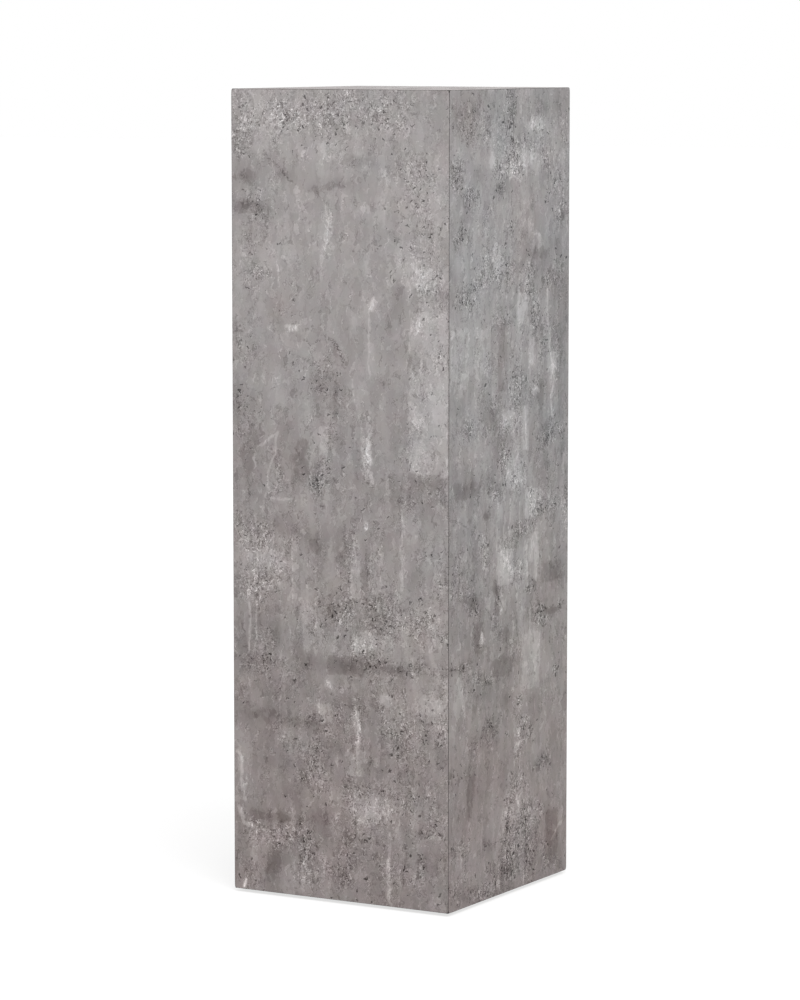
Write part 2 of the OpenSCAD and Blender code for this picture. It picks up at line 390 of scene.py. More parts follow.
# The concrete print, placed one by one on the two sheets that show: millimetres from a sheet's left and top.
# shade, rough, warmth, olive, skim, chalk and pits hold soft ovals: across, down, half width, half height,
# strength. blocks hold firm ones: left, top, right, bottom, strength. scratches are dark and runs are pale
# lines: half thickness, strength, then the points along each.
frontPrint = {
    # fall makes the sheet darker towards its foot
    "fall": (6.5, -8),           # grey levels at the top and the foot
    "warmFall": (-0.15, 1.0),
    "grit": 1.04,                # how much the rough ovals count
    "streaky": (0.85, 1.7),      # how much the streaks count at the top and the foot
    "shade": [
        (150, 380, 46, 80, -2.5), (270, 340, 36, 40, -2.5), (30, 150, 36, 70, -1.5), (280, 735, 30, 50, 2),
        (42, 660, 4, 26, -6), (60, 665, 5, 26, -4), (28, 655, 4, 30, -3), (12, 650, 6, 30, -4),
        (95, 640, 4, 26, -4), (72, 655, 4, 26, 4), (25, 25, 12, 22, 8), (62, 35, 14, 25, 6),
        (175, 60, 14, 16, 8), (110, 80, 30, 12, 3), (18, 104, 32, 20, -10), (45, 80, 12, 6, -8),
        (75, 102, 14, 7, -6), (120, 121, 22, 7, -9), (150, 115, 20, 8, -9), (180, 84, 16, 8, -9),
        (30, 144, 36, 8, -11), (130, 150, 9, 16, 5), (132, 182, 7, 24, 4), (200, 150, 18, 14, 3),
        (255, 140, 30, 20, 3), (265, 225, 24, 20, 4), (245, 205, 20, 14, 6), (60, 205, 22, 20, 5),
        (200, 215, 10, 16, 4), (225, 250, 14, 30, -5), (120, 265, 18, 28, -5), (70, 270, 12, 26, -5),
        (15, 320, 14, 50, -4), (0, 380, 16, 40, -6), (258, 285, 12, 14, 7), (285, 350, 28, 110, 6),
        (262, 318, 14, 8, -7), (220, 310, 28, 26, -3), (138, 306, 26, 12, -7), (120, 350, 22, 14, -4),
        (145, 360, 16, 16, -5), (120, 325, 12, 10, 4), (168, 345, 8, 40, 3), (192, 300, 4, 60, 5),
        (195, 430, 8, 32, 5), (50, 350, 14, 30, 3), (85, 290, 8, 6, 8), (200, 255, 8, 12, 8),
        (20, 440, 22, 50, -10), (90, 450, 18, 40, -8), (125, 425, 8, 26, 6), (120, 452, 6, 8, -6),
        (145, 420, 8, 6, -8), (275, 465, 40, 9, -8), (235, 480, 20, 12, -5), (270, 484, 44, 22, -4),
        (170, 470, 30, 18, -6), (100, 535, 40, 8, -5), (50, 575, 36, 20, 6), (190, 518, 8, 12, 7),
        (118, 548, 7, 14, -9), (155, 560, 12, 30, -6), (190, 570, 6, 36, -6), (178, 560, 4, 24, 5),
        (240, 560, 6, 60, 5), (60, 600, 16, 10, 4), (75, 615, 16, 14, -4), (123, 620, 6, 10, -12),
        (147, 626, 16, 26, -6), (195, 645, 14, 8, -10), (215, 625, 14, 22, -7), (190, 663, 18, 10, 7),
        (145, 675, 14, 8, 4), (40, 645, 8, 12, -7), (160, 694, 28, 9, -13), (220, 695, 22, 8, -8),
        (110, 690, 20, 12, -7), (270, 695, 30, 10, -6), (20, 700, 22, 24, -8), (285, 742, 26, 26, 4),
        (215, 735, 20, 22, 4), (135, 717, 6, 6, 10), (155, 724, 6, 6, 8), (130, 755, 14, 10, 7),
        (50, 768, 40, 14, -12), (120, 770, 24, 8, -5), (272, 770, 6, 20, -9), (176, 770, 4, 24, 8),
        (174, 815, 12, 22, 5), (95, 790, 24, 14, 5), (95, 825, 30, 10, -4), (50, 815, 20, 26, -6),
        (50, 890, 40, 12, -9), (80, 862, 26, 10, -4), (205, 820, 10, 6, -8), (195, 815, 6, 10, -7),
        (300, 800, 10, 14, -9), (250, 825, 30, 8, -4), (265, 855, 12, 10, -4), (205, 868, 30, 14, 6),
        (165, 870, 16, 10, 5), (148, 885, 6, 10, 9), (10, 830, 6, 24, 7), (58, 950, 15, 26, -10),
        (125, 885, 24, 18, -6), (20, 935, 12, 16, 3), (165, 915, 30, 10, -5), (160, 945, 30, 20, -3),
        (222, 945, 4, 36, 9), (130, 935, 10, 12, 5), (100, 955, 8, 14, 4), (275, 925, 20, 14, -6),
        (190, 960, 18, 16, -3), (265, 130, 30, 44, 5), (245, 185, 24, 20, 6), (240, 308, 20, 18, -8),
        (240, 650, 44, 40, 7), (295, 680, 14, 40, 6), (130, 640, 44, 30, 6), (160, 605, 14, 12, 4),
        (84, 590, 9, 34, 8), (60, 655, 30, 24, -8), (60, 742, 34, 18, -8), (104, 498, 10, 18, 11),
        (66, 458, 14, 22, -7), (72, 525, 18, 14, -9), (84, 385, 8, 30, -7), (295, 752, 14, 26, 7),
        (125, 700, 24, 10, -6), (170, 738, 14, 12, -7), (150, 797, 18, 10, -9), (220, 828, 18, 26, 6),
        (260, 868, 24, 16, 9), (92, 968, 14, 16, 10), (25, 928, 12, 20, 6), (14, 885, 10, 14, 5),
        (192, 945, 10, 18, 6), (50, 46, 18, 14, 7), (105, 12, 14, 10, 9), (190, 52, 16, 16, 5),
        (35, 92, 16, 9, -6), (172, 88, 12, 9, -7), (0, 125, 10, 24, -10), (250, 693, 44, 36, 2.8),
        (150, 792, 44, 36, -2.6), (260, 335, 40, 36, -2.2), (150, 440, 44, 36, -1.6),
    ],
    "rough": [
        (60, 28, 46, 26, 0.42), (150, 28, 64, 30, 0.46), (15, 30, 20, 34, 0.4), (5, 62, 8, 14, 0.6),
        (110, 45, 34, 20, 0.36), (220, 30, 36, 34, 0.46), (30, 150, 34, 60, 0.35), (12, 72, 12, 10, 0.4),
        (45, 130, 20, 14, 0.3), (40, 220, 12, 9, 0.6), (20, 230, 18, 30, 0.3), (86, 250, 9, 34, 0.4),
        (265, 110, 26, 50, 0.36), (262, 185, 24, 40, 0.32), (285, 230, 20, 40, 0.34),
        (272, 300, 22, 50, 0.35), (290, 315, 9, 14, 0.5), (262, 370, 22, 40, 0.35), (262, 440, 30, 30, 0.4),
        (255, 490, 30, 20, 0.3), (135, 145, 10, 12, 0.3), (158, 176, 10, 10, 0.3), (145, 200, 12, 16, 0.25),
        (15, 300, 18, 30, 0.3), (15, 395, 16, 40, 0.35), (130, 330, 30, 30, 0.35), (145, 380, 16, 20, 0.3),
        (140, 415, 14, 20, 0.35), (133, 460, 24, 30, 0.5), (120, 485, 14, 12, 0.5), (193, 400, 9, 20, 0.3),
        (193, 450, 8, 34, 0.4), (60, 460, 14, 30, 0.3), (35, 545, 34, 30, 0.65), (50, 590, 40, 30, 0.55),
        (20, 610, 20, 16, 0.4), (170, 540, 8, 30, 0.4), (205, 530, 14, 20, 0.35), (170, 590, 20, 30, 0.35),
        (215, 630, 34, 30, 0.6), (270, 640, 30, 30, 0.5), (190, 670, 24, 20, 0.5), (150, 628, 20, 28, 0.6),
        (120, 660, 20, 20, 0.35), (290, 580, 16, 30, 0.4), (40, 700, 40, 14, 0.35), (240, 695, 60, 14, 0.4),
        (235, 765, 30, 34, 0.6), (180, 740, 30, 40, 0.35), (285, 760, 20, 40, 0.4), (140, 780, 24, 30, 0.4),
        (110, 820, 24, 40, 0.35), (190, 870, 30, 26, 0.7), (150, 860, 30, 40, 0.3), (240, 850, 30, 40, 0.35),
        (285, 880, 18, 40, 0.45), (60, 915, 34, 14, 0.7), (25, 910, 20, 16, 0.4), (101, 942, 9, 24, 1.2),
        (150, 940, 40, 34, 0.4), (230, 940, 50, 34, 0.4), (165, 962, 12, 12, 0.5), (25, 965, 24, 20, 0.4),
        (95, 900, 20, 18, 0.3), (160, 260, 60, 90, -0.2), (205, 330, 30, 60, -0.2), (190, 140, 40, 40, -0.2),
        (100, 120, 30, 24, -0.2), (20, 97, 18, 12, -0.4), (90, 400, 14, 30, -0.2), (235, 290, 14, 60, -0.25),
        (50, 690, 46, 50, 0.28), (85, 800, 36, 50, 0.2),
    ],
    "warmth": [
        (55, 500, 90, 110, 0.4), (200, 98, 22, 18, -0.6), (280, 560, 24, 60, -0.5), (100, 880, 90, 40, 0.5),
        (262, 858, 18, 14, -0.7), (120, 470, 16, 18, -0.7), (70, 268, 14, 26, 0.6), (130, 756, 14, 10, 0.5),
    ],
    "olive": [
        (190, 645, 140, 60, 0.7), (250, 740, 80, 50, 0.5), (160, 940, 140, 40, -0.3),
    ],
    "skim": [
        (190, 430, 9, 42, 0.6), (265, 222, 22, 17, 0.5), (50, 575, 36, 18, 0.6), (190, 869, 38, 23, 0.62),
        (215, 735, 16, 16, 0.5), (275, 735, 26, 22, 0.6), (135, 70, 40, 16, 0.5), (192, 98, 14, 14, 0.4),
        (147, 630, 12, 16, -0.45), (50, 768, 38, 12, -0.5), (50, 893, 34, 8, -0.8), (58, 948, 15, 26, -0.7),
        (118, 548, 6, 12, -0.7), (150, 312, 9, 12, -0.45), (20, 106, 24, 12, -0.7), (135, 120, 32, 6, -0.7),
        (25, 445, 18, 40, -0.6), (95, 450, 16, 34, -0.6), (265, 466, 36, 8, -0.38), (260, 318, 11, 6, -0.6),
    ],
    "blocks": [
        (252, 262, 303, 456, 0.8), (135, 684, 186, 706, -1.5), (118, 744, 142, 768, 0.7),
        (186, 688, 240, 699, -0.5), (166, 572, 182, 612, 0.7), (122, 404, 137, 442, 0.6),
        (133, 362, 150, 386, -0.6), (236, 500, 243, 600, 0.6), (0, 134, 58, 152, -0.6),
        (196, 545, 206, 606, 0.5), (160, 796, 190, 832, 0.5), (166, 656, 206, 676, 0.6),
    ],
    "chalk": [
        (100, 30, 60, 22, 0.75), (30, 35, 16, 26, 0.7), (265, 225, 18, 14, 0.7), (250, 205, 12, 10, 0.5),
        (135, 170, 8, 28, 0.9), (85, 288, 8, 6, 1.2), (199, 255, 6, 9, 1.2), (260, 278, 7, 10, 1.0),
        (258, 338, 6, 9, 0.8), (260, 400, 6, 7, 0.7), (262, 445, 14, 12, 0.6), (194, 432, 7, 24, 1.2),
        (45, 570, 40, 42, 0.5), (43, 533, 5, 4, 1.0), (48, 602, 14, 13, 0.6), (190, 524, 8, 10, 1.2),
        (188, 667, 20, 11, 0.7), (143, 672, 8, 8, 0.7), (135, 720, 6, 6, 1.1), (155, 724, 6, 5, 0.9),
        (10, 821, 6, 9, 1.0), (14, 857, 5, 13, 1.0), (12, 890, 5, 10, 0.9), (22, 902, 8, 3, 0.9),
        (65, 910, 12, 9, 0.7), (30, 922, 10, 8, 0.6), (210, 870, 20, 20, 0.7), (150, 882, 6, 8, 1.1),
        (187, 870, 28, 26, 0.4), (101, 947, 6, 12, 0.9), (80, 956, 3, 6, 1.0), (176, 768, 4, 22, 1.2),
    ],
    "pits": [
        (155, 38, 16, 18, 0.95), (110, 35, 60, 24, 0.6), (255, 150, 42, 90, 0.4), (38, 144, 22, 10, 0.7),
        (125, 352, 26, 22, 0.7), (137, 395, 4, 16, 0.9), (120, 470, 12, 18, 1.1), (145, 475, 8, 8, 1.0),
        (20, 325, 16, 16, 0.5), (18, 385, 14, 16, 0.5), (288, 320, 12, 80, 0.5), (150, 628, 18, 28, 0.7),
        (215, 630, 16, 24, 0.8), (240, 692, 60, 6, 0.5), (290, 557, 12, 14, 0.6), (232, 797, 4, 32, 0.8),
        (240, 817, 20, 3, 0.8), (272, 775, 8, 26, 0.6), (295, 805, 6, 10, 0.9), (265, 858, 14, 18, 0.6),
        (190, 905, 24, 5, 0.6), (101, 947, 5, 12, 0.8), (165, 960, 6, 10, 0.8), (255, 900, 30, 40, 0.35),
    ],
    "scratches": [
        (3.0, 0.8, (46, 76), (60, 88), (72, 98), (86, 113)), (3.4, 0.5, (194, 74), (176, 87), (158, 95)),
        (1.8, 0.8, (240, 120), (262, 134)), (2.2, 1.0, (102, 303), (114, 307), (125, 300)),
        (2.4, 1.3, (139, 297), (149, 307), (156, 318), (160, 327)),
        (1.6, 0.8, (138, 380), (140, 395), (136, 412)), (2.4, 1.1, (121, 456), (130, 443)),
        (1.6, 0.6, (230, 487), (272, 487)), (2.2, 1.0, (122, 611), (125, 626)),
        (2.0, 0.5, (137, 612), (148, 642)), (2.4, 0.4, (186, 690), (240, 695)),
        (2.0, 0.6, (240, 695), (302, 697)), (1.8, 0.6, (20, 896), (50, 906), (76, 890)),
        (1.6, 0.6, (165, 913), (210, 908)), (2.6, 0.7, (159, 520), (161, 552)),
        (2.6, 0.6, (143, 550), (150, 582)), (2.6, 0.6, (189, 545), (192, 602)),
        (2.2, 0.7, (195, 808), (193, 842)), (1.6, 0.7, (196, 643), (232, 655)), (2.4, 1.2, (39, 221)),
        (2.2, 1.1, (210, 185)), (2.2, 1.1, (120, 225)), (2.2, 1.0, (118, 237)), (2.2, 1.0, (225, 18)),
        (2.2, 1.1, (228, 328)), (2.2, 1.0, (290, 316)), (2.4, 1.1, (250, 650)), (2.4, 1.1, (266, 664)),
        (2.2, 1.1, (270, 679)), (2.2, 1.0, (211, 577)), (2.2, 1.0, (213, 594)), (2.4, 1.1, (228, 508)),
        (2.8, 1.2, (142, 732)), (3.4, 1.1, (228, 755)), (3.0, 1.1, (228, 848)), (2.6, 1.1, (235, 861)),
        (2.6, 1.1, (270, 866)), (3.0, 1.2, (235, 922)), (2.6, 1.0, (246, 911)), (2.4, 1.0, (263, 925)),
        (2.6, 1.1, (130, 830)), (2.8, 1.2, (92, 969)), (2.4, 1.1, (77, 980)), (2.4, 1.0, (105, 920)),
        (2.4, 1.0, (120, 922)), (2.4, 1.0, (146, 468)), (2.2, 0.9, (140, 485)),
    ],
    "runs": [
        (2.2, 0.5, (84, 560), (86, 622)), (2.0, 0.5, (50, 640), (51, 688)),
        (2.2, 0.45, (106, 575), (107, 640)), (2.6, 0.6, (133, 141), (138, 158), (133, 177), (134, 190)),
        (2.0, 0.6, (65, 195), (66, 240)), (1.8, 0.7, (194, 264), (194, 345)),
        (1.8, 0.6, (251, 262), (251, 456)), (2.2, 0.6, (169, 345), (176, 386)),
        (2.0, 0.9, (35, 436), (65, 415), (62, 440), (50, 466), (52, 492)), (1.8, 0.7, (55, 498), (90, 497)),
        (2.4, 0.8, (172, 534), (174, 566)), (1.8, 0.5, (195, 545), (196, 605)),
        (2.2, 0.5, (239, 500), (240, 600)), (1.6, 1.0, (23, 600), (23, 688)),
        (1.6, 1.0, (33, 625), (33, 672)), (2.0, 0.6, (67, 740), (67, 780)),
        (3.2, 1.1, (174, 748), (178, 770), (177, 795)), (2.2, 0.7, (177, 795), (175, 836)),
        (1.8, 0.6, (128, 790), (128, 850)), (2.4, 1.4, (5, 812), (11, 826), (12, 846)),
        (2.4, 1.4, (12, 846), (16, 872)), (2.6, 1.3, (8, 882), (14, 902), (29, 905)),
        (2.6, 0.8, (222, 895), (223, 985)), (2.8, 1.1, (222, 932), (223, 948)),
        (1.7, 4.5, (15, 975), (14.5, 983)), (3.0, 1.0, (200, 248), (198, 262)),
        (3.4, 1.1, (80, 287), (92, 290)), (3.0, 1.1, (194, 418), (196, 446)),
        (2.6, 1.2, (197, 459), (198, 469)),
    ],
}

rightPrint = {
    "fall": (5, -8),
    "warmFall": (-1.0, 1.0),
    "grit": 1.52,
    "streaky": (1.0, 1.0),
    "shade": [
        (288, 60, 26, 80, -3), (290, 220, 24, 110, -2), (285, 430, 26, 44, -3), (150, 330, 30, 40, 2),
        (50, 20, 50, 22, -8), (100, 40, 10, 16, -6), (150, 15, 14, 12, -6), (230, 22, 16, 7, -13),
        (285, 20, 24, 16, -4), (15, 70, 16, 20, 5), (218, 45, 26, 10, 7), (190, 80, 20, 12, 8),
        (160, 103, 12, 7, 12), (110, 85, 12, 12, 9), (215, 85, 22, 14, 6), (265, 60, 12, 14, 5),
        (285, 105, 14, 10, 3), (10, 95, 14, 10, -8), (70, 95, 8, 8, -7), (130, 58, 6, 5, -10),
        (155, 45, 10, 30, -6), (125, 120, 14, 12, -9), (220, 115, 50, 12, -2), (45, 140, 18, 14, -5),
        (90, 150, 6, 10, -8), (30, 170, 10, 10, -7), (75, 195, 36, 36, 5), (120, 200, 8, 24, 6),
        (215, 202, 40, 16, -7), (180, 212, 14, 8, -5), (270, 190, 20, 14, -6), (283, 160, 8, 12, -12),
        (20, 240, 14, 10, -6), (60, 265, 20, 6, -5), (130, 262, 12, 20, -5), (140, 282, 16, 4, -9),
        (110, 265, 8, 14, 6), (180, 265, 20, 18, 7), (170, 290, 20, 8, 4), (131, 328, 12, 44, -6),
        (112, 395, 18, 24, -8), (205, 250, 12, 8, -9), (248, 280, 4, 46, 7), (50, 320, 52, 40, 3),
        (10, 300, 10, 30, 4), (20, 375, 24, 12, -4), (60, 430, 40, 14, 3), (205, 330, 10, 30, 6),
        (230, 300, 12, 20, -8), (228, 375, 14, 24, -10), (218, 370, 7, 4, 12), (270, 290, 20, 60, -5),
        (262, 345, 6, 20, 9), (258, 385, 5, 20, 4), (262, 410, 6, 8, 3), (285, 360, 16, 40, -4),
        (192, 412, 4, 24, 5), (160, 400, 14, 20, 4), (240, 420, 16, 10, -9), (290, 460, 12, 20, -9),
        (120, 435, 14, 14, -9), (40, 478, 46, 18, -11), (100, 480, 24, 10, -6), (155, 460, 18, 16, 5),
        (165, 480, 20, 8, 6), (89, 516, 9, 11, -9), (120, 505, 8, 8, 6), (208, 505, 20, 22, 8),
        (138, 530, 12, 12, -7), (190, 540, 60, 50, 3), (138, 578, 20, 21, 9), (148, 600, 14, 12, 8),
        (220, 570, 7, 28, 8), (185, 600, 20, 20, 4), (268, 600, 26, 18, -9), (255, 625, 20, 12, -5),
        (260, 648, 40, 8, -11), (60, 570, 6, 30, -8), (55, 615, 22, 9, -11), (75, 655, 16, 26, -6),
        (85, 658, 5, 14, 4), (118, 610, 8, 14, -9), (130, 632, 8, 10, 8), (145, 662, 18, 18, -5),
        (215, 702, 36, 36, 5), (195, 680, 16, 14, 5), (128, 702, 34, 14, -9), (15, 695, 22, 6, -8),
        (85, 725, 24, 12, -8), (140, 745, 8, 10, -10), (25, 730, 28, 30, 3), (100, 775, 24, 16, -6),
        (55, 830, 12, 34, -6), (50, 872, 14, 26, -4), (100, 840, 44, 40, -5), (215, 752, 8, 5, -8),
        (175, 788, 14, 14, 6), (173, 804, 8, 6, 12), (232, 836, 22, 8, -7), (285, 860, 10, 40, 3),
        (100, 875, 24, 12, 4), (165, 880, 20, 12, 4), (15, 910, 12, 10, -10), (150, 902, 6, 20, -6),
        (100, 918, 20, 8, -8), (155, 955, 24, 16, -6), (130, 980, 30, 8, -9), (262, 938, 18, 32, -9),
        (265, 905, 16, 8, -5), (200, 945, 16, 16, -5), (85, 945, 12, 14, 3), (40, 980, 30, 8, -7),
        (242, 16, 34, 14, -8), (270, 80, 14, 12, 11), (135, 62, 14, 22, 5), (145, 92, 26, 14, 6),
        (255, 225, 50, 60, -7), (290, 295, 16, 36, -7), (225, 225, 12, 18, -6), (216, 285, 12, 14, 5),
        (248, 318, 7, 16, 6), (285, 405, 20, 16, -8), (240, 475, 14, 34, -10), (105, 490, 20, 9, 8),
        (166, 440, 12, 14, 7), (15, 415, 14, 14, 6), (34, 442, 16, 12, 5), (210, 580, 14, 26, 8),
        (172, 597, 12, 10, 6), (180, 652, 10, 22, 7), (86, 566, 10, 10, 8), (122, 568, 7, 12, 7),
        (56, 575, 9, 20, -5), (145, 622, 12, 12, 6), (68, 624, 9, 10, 7), (58, 682, 18, 18, -9),
        (180, 720, 12, 12, 6), (53, 750, 9, 26, 7), (165, 888, 50, 24, 7), (215, 895, 14, 20, 5),
        (238, 962, 18, 18, -7), (135, 948, 12, 12, 5), (75, 974, 10, 9, 6), (118, 974, 9, 9, 6),
        (10, 215, 12, 18, -9), (15, 180, 12, 10, -6), (105, 20, 6, 16, -7), (110, 415, 10, 24, 5),
        (190, 400, 12, 24, -4), (182, 830, 9, 34, 6), (50, 690, 46, 90, -1.8), (150, 594, 44, 34, 2.6),
        (150, 895, 44, 34, 3.2), (255, 50, 44, 40, -2), (255, 446, 44, 40, -2), (255, 346, 40, 36, -1.6),
        (150, 446, 44, 40, -1.6), (150, 346, 44, 36, 1.8),
    ],
    "rough": [
        (150, 35, 20, 40, 0.45), (15, 92, 12, 12, 1.2), (160, 92, 18, 12, 1.3), (165, 75, 30, 14, 0.5),
        (125, 100, 16, 16, 0.6), (60, 40, 60, 30, 0.3), (230, 60, 30, 30, 0.4), (285, 50, 20, 30, 0.3),
        (55, 130, 24, 14, 0.6), (20, 110, 20, 14, 0.5), (285, 150, 18, 24, 0.5), (270, 110, 20, 20, 0.35),
        (95, 150, 10, 14, 0.4), (25, 172, 14, 12, 0.4), (150, 172, 14, 10, 0.6), (150, 215, 30, 24, 0.45),
        (200, 225, 24, 12, 0.45), (90, 200, 26, 14, 0.4), (45, 248, 20, 12, 0.9), (85, 230, 24, 8, 0.7),
        (115, 220, 14, 10, 0.4), (255, 235, 24, 14, 0.4), (212, 280, 12, 14, 0.8), (205, 255, 14, 10, 0.4),
        (245, 300, 14, 24, 0.35), (120, 270, 20, 14, 0.3), (95, 330, 14, 14, 0.3), (170, 355, 24, 20, 0.35),
        (215, 365, 14, 10, 0.5), (270, 330, 18, 30, 0.3), (115, 380, 16, 12, 0.35), (165, 380, 10, 14, 0.4),
        (150, 410, 14, 14, 0.4), (250, 430, 16, 12, 0.6), (282, 428, 10, 8, 0.7), (60, 405, 30, 12, 0.3),
        (140, 450, 20, 20, 0.55), (165, 475, 14, 16, 0.5), (115, 488, 10, 10, 0.9), (190, 465, 14, 14, 0.3),
        (218, 515, 18, 18, 1.0), (190, 540, 24, 10, 0.8), (150, 555, 20, 10, 0.5), (296, 520, 8, 24, 1.0),
        (265, 515, 20, 14, 0.6), (145, 575, 12, 14, 0.6), (155, 596, 10, 10, 0.8), (175, 590, 14, 12, 0.5),
        (85, 560, 14, 14, 0.5), (20, 580, 16, 30, 0.3), (205, 612, 16, 8, 0.6), (60, 620, 14, 12, 0.5),
        (125, 615, 12, 14, 0.4), (220, 645, 24, 10, 0.5), (240, 660, 24, 8, 0.5), (282, 645, 14, 10, 0.5),
        (80, 665, 14, 12, 0.6), (125, 660, 14, 16, 0.5), (155, 680, 10, 10, 0.6), (30, 690, 24, 6, 0.8),
        (70, 705, 14, 8, 0.5), (105, 712, 14, 8, 0.5), (275, 725, 8, 7, 1.0), (175, 750, 14, 10, 0.6),
        (105, 775, 18, 16, 0.4), (190, 790, 18, 16, 0.6), (175, 818, 10, 8, 0.6), (60, 795, 18, 10, 0.3),
        (180, 855, 20, 14, 0.5), (160, 860, 10, 20, 0.4), (150, 890, 10, 26, 0.8), (185, 900, 24, 20, 0.7),
        (155, 945, 26, 26, 0.9), (205, 945, 20, 34, 0.7), (115, 960, 20, 20, 0.5), (30, 910, 24, 12, 0.5),
        (25, 960, 24, 16, 0.4), (80, 975, 24, 10, 0.5), (270, 968, 16, 10, 0.5), (235, 900, 20, 14, 0.4),
        (250, 955, 20, 20, 0.4), (232, 836, 14, 8, 0.4), (150, 390, 190, 150, 0.1), (50, 590, 70, 60, 0.1),
    ],
    "warmth": [
        (190, 165, 40, 44, 1.1), (35, 30, 50, 36, 0.8), (128, 340, 14, 60, 0.6), (262, 935, 24, 34, 0.9),
        (250, 620, 40, 30, 0.5), (90, 845, 60, 40, 0.8), (60, 200, 60, 40, -0.7), (130, 40, 30, 60, -0.6),
        (262, 405, 24, 20, -1.0), (255, 160, 20, 30, -0.6), (40, 440, 40, 16, 0.5), (290, 360, 20, 40, -0.6),
    ],
    "olive": [
        (200, 560, 100, 60, 0.8), (190, 700, 150, 90, 1.1), (50, 740, 60, 70, 0.6), (230, 830, 80, 60, 0.6),
        (60, 340, 50, 50, 0.5), (60, 130, 60, 60, -0.6), (260, 160, 50, 50, -0.8), (10, 960, 60, 40, -0.4),
    ],
    "skim": [
        (190, 160, 34, 34, 0.4), (160, 460, 18, 22, 0.7), (140, 580, 18, 18, 1.1), (145, 600, 12, 9, 0.9),
        (206, 505, 18, 20, 0.8), (218, 575, 8, 30, 0.8), (218, 45, 24, 11, 0.9), (195, 82, 26, 13, 0.8),
        (120, 200, 10, 30, 0.6), (25, 730, 22, 28, 0.7), (205, 700, 20, 36, 0.7), (108, 88, 9, 12, 0.7),
        (85, 660, 6, 14, 0.8), (262, 352, 8, 28, 0.6), (110, 398, 18, 18, -0.8), (40, 478, 44, 14, -0.9),
        (75, 655, 13, 25, -0.7), (55, 616, 18, 7, -0.8), (118, 610, 7, 13, -0.9), (138, 665, 16, 17, -0.7),
        (130, 702, 30, 11, -0.8), (54, 848, 15, 44, -0.48), (264, 930, 19, 32, -0.6),
        (228, 375, 13, 22, -0.8), (262, 648, 36, 6, -0.7), (268, 600, 22, 15, -0.7),
        (225, 202, 34, 11, -0.6), (285, 158, 7, 9, -0.8), (89, 518, 8, 8, -0.8),
    ],
    "blocks": [
        (118, 286, 146, 366, -0.65), (2, 282, 104, 346, 0.5), (168, 246, 200, 290, 0.52),
        (120, 562, 160, 602, 1.3), (214, 545, 226, 605, 0.8), (182, 668, 232, 742, 0.6),
        (104, 692, 160, 716, -0.7), (246, 900, 282, 962, -0.55), (185, 386, 198, 442, 1.1),
        (62, 640, 90, 680, -0.7), (112, 598, 126, 640, -0.6), (256, 370, 264, 404, 0.6),
        (142, 450, 184, 486, 0.9), (198, 300, 214, 340, 0.6), (132, 388, 160, 410, 0.8),
        (152, 404, 180, 450, 0.45), (190, 490, 232, 526, 0.8), (186, 552, 212, 600, 0.5),
        (120, 500, 134, 522, 0.9), (70, 538, 94, 550, 0.8), (246, 326, 280, 350, 0.8),
        (234, 585, 288, 614, -0.6),
    ],
    "chalk": [
        (218, 45, 34, 15, 0.75), (160, 98, 16, 11, 1.1), (200, 72, 16, 8, 0.6), (265, 50, 10, 14, 0.7),
        (287, 42, 8, 6, 1.0), (275, 125, 14, 16, 0.6), (275, 160, 12, 16, 0.5), (222, 178, 16, 4, 0.6),
        (270, 225, 26, 12, 0.6), (212, 262, 12, 16, 0.7), (260, 345, 12, 16, 0.6), (218, 368, 8, 3, 1.2),
        (200, 340, 10, 30, 0.4), (145, 400, 18, 14, 0.8), (170, 400, 8, 10, 1.0), (263, 402, 8, 10, 0.9),
        (150, 468, 12, 16, 0.5), (180, 472, 14, 12, 0.5), (110, 487, 18, 8, 0.8), (218, 465, 6, 8, 0.8),
        (212, 506, 22, 14, 0.4), (262, 520, 10, 20, 0.7), (290, 525, 12, 10, 0.6), (143, 575, 22, 24, 0.35),
        (82, 540, 12, 7, 0.9), (85, 573, 7, 7, 0.8), (130, 633, 7, 8, 1.0), (84, 658, 6, 14, 0.9),
        (195, 570, 12, 10, 0.5), (120, 500, 5, 6, 1.0), (175, 787, 12, 12, 0.9), (173, 804, 9, 5, 1.1),
        (180, 850, 10, 14, 0.7), (174, 878, 7, 6, 1.0), (160, 893, 6, 8, 0.8), (126, 970, 5, 8, 1.1),
        (192, 975, 12, 5, 0.7), (175, 945, 10, 12, 0.6), (28, 925, 6, 12, 0.6), (70, 704, 5, 4, 0.9),
        (36, 697, 4, 4, 0.8), (127, 693, 6, 4, 0.8),
    ],
    "pits": [
        (155, 40, 14, 30, 1.0), (15, 92, 12, 14, 1.0), (160, 78, 30, 18, 0.7), (168, 95, 12, 8, 0.9),
        (122, 122, 14, 10, 1.0), (55, 136, 22, 14, 0.6), (30, 172, 12, 10, 0.8), (94, 150, 6, 12, 0.8),
        (155, 172, 8, 8, 0.8), (85, 195, 28, 24, 0.6), (130, 215, 14, 10, 0.7), (65, 233, 40, 6, 1.0),
        (45, 30, 40, 20, 0.5), (210, 52, 30, 10, 0.5), (270, 110, 24, 34, 0.6), (252, 130, 10, 16, 0.8),
        (285, 222, 26, 14, 0.6), (40, 250, 22, 10, 1.0), (212, 280, 12, 18, 1.1), (205, 252, 14, 6, 0.8),
        (240, 290, 8, 14, 0.7), (95, 325, 10, 10, 0.7), (115, 372, 14, 8, 0.5), (160, 342, 20, 24, 0.5),
        (170, 372, 6, 10, 0.9), (262, 415, 22, 8, 0.9), (50, 408, 30, 8, 0.6), (140, 452, 16, 14, 0.7),
        (165, 475, 20, 10, 0.7), (250, 450, 10, 40, 0.7), (230, 520, 14, 14, 1.2), (175, 540, 12, 10, 0.9),
        (260, 530, 10, 20, 0.7), (205, 612, 12, 8, 0.9), (15, 580, 14, 34, 0.7), (60, 625, 14, 8, 0.9),
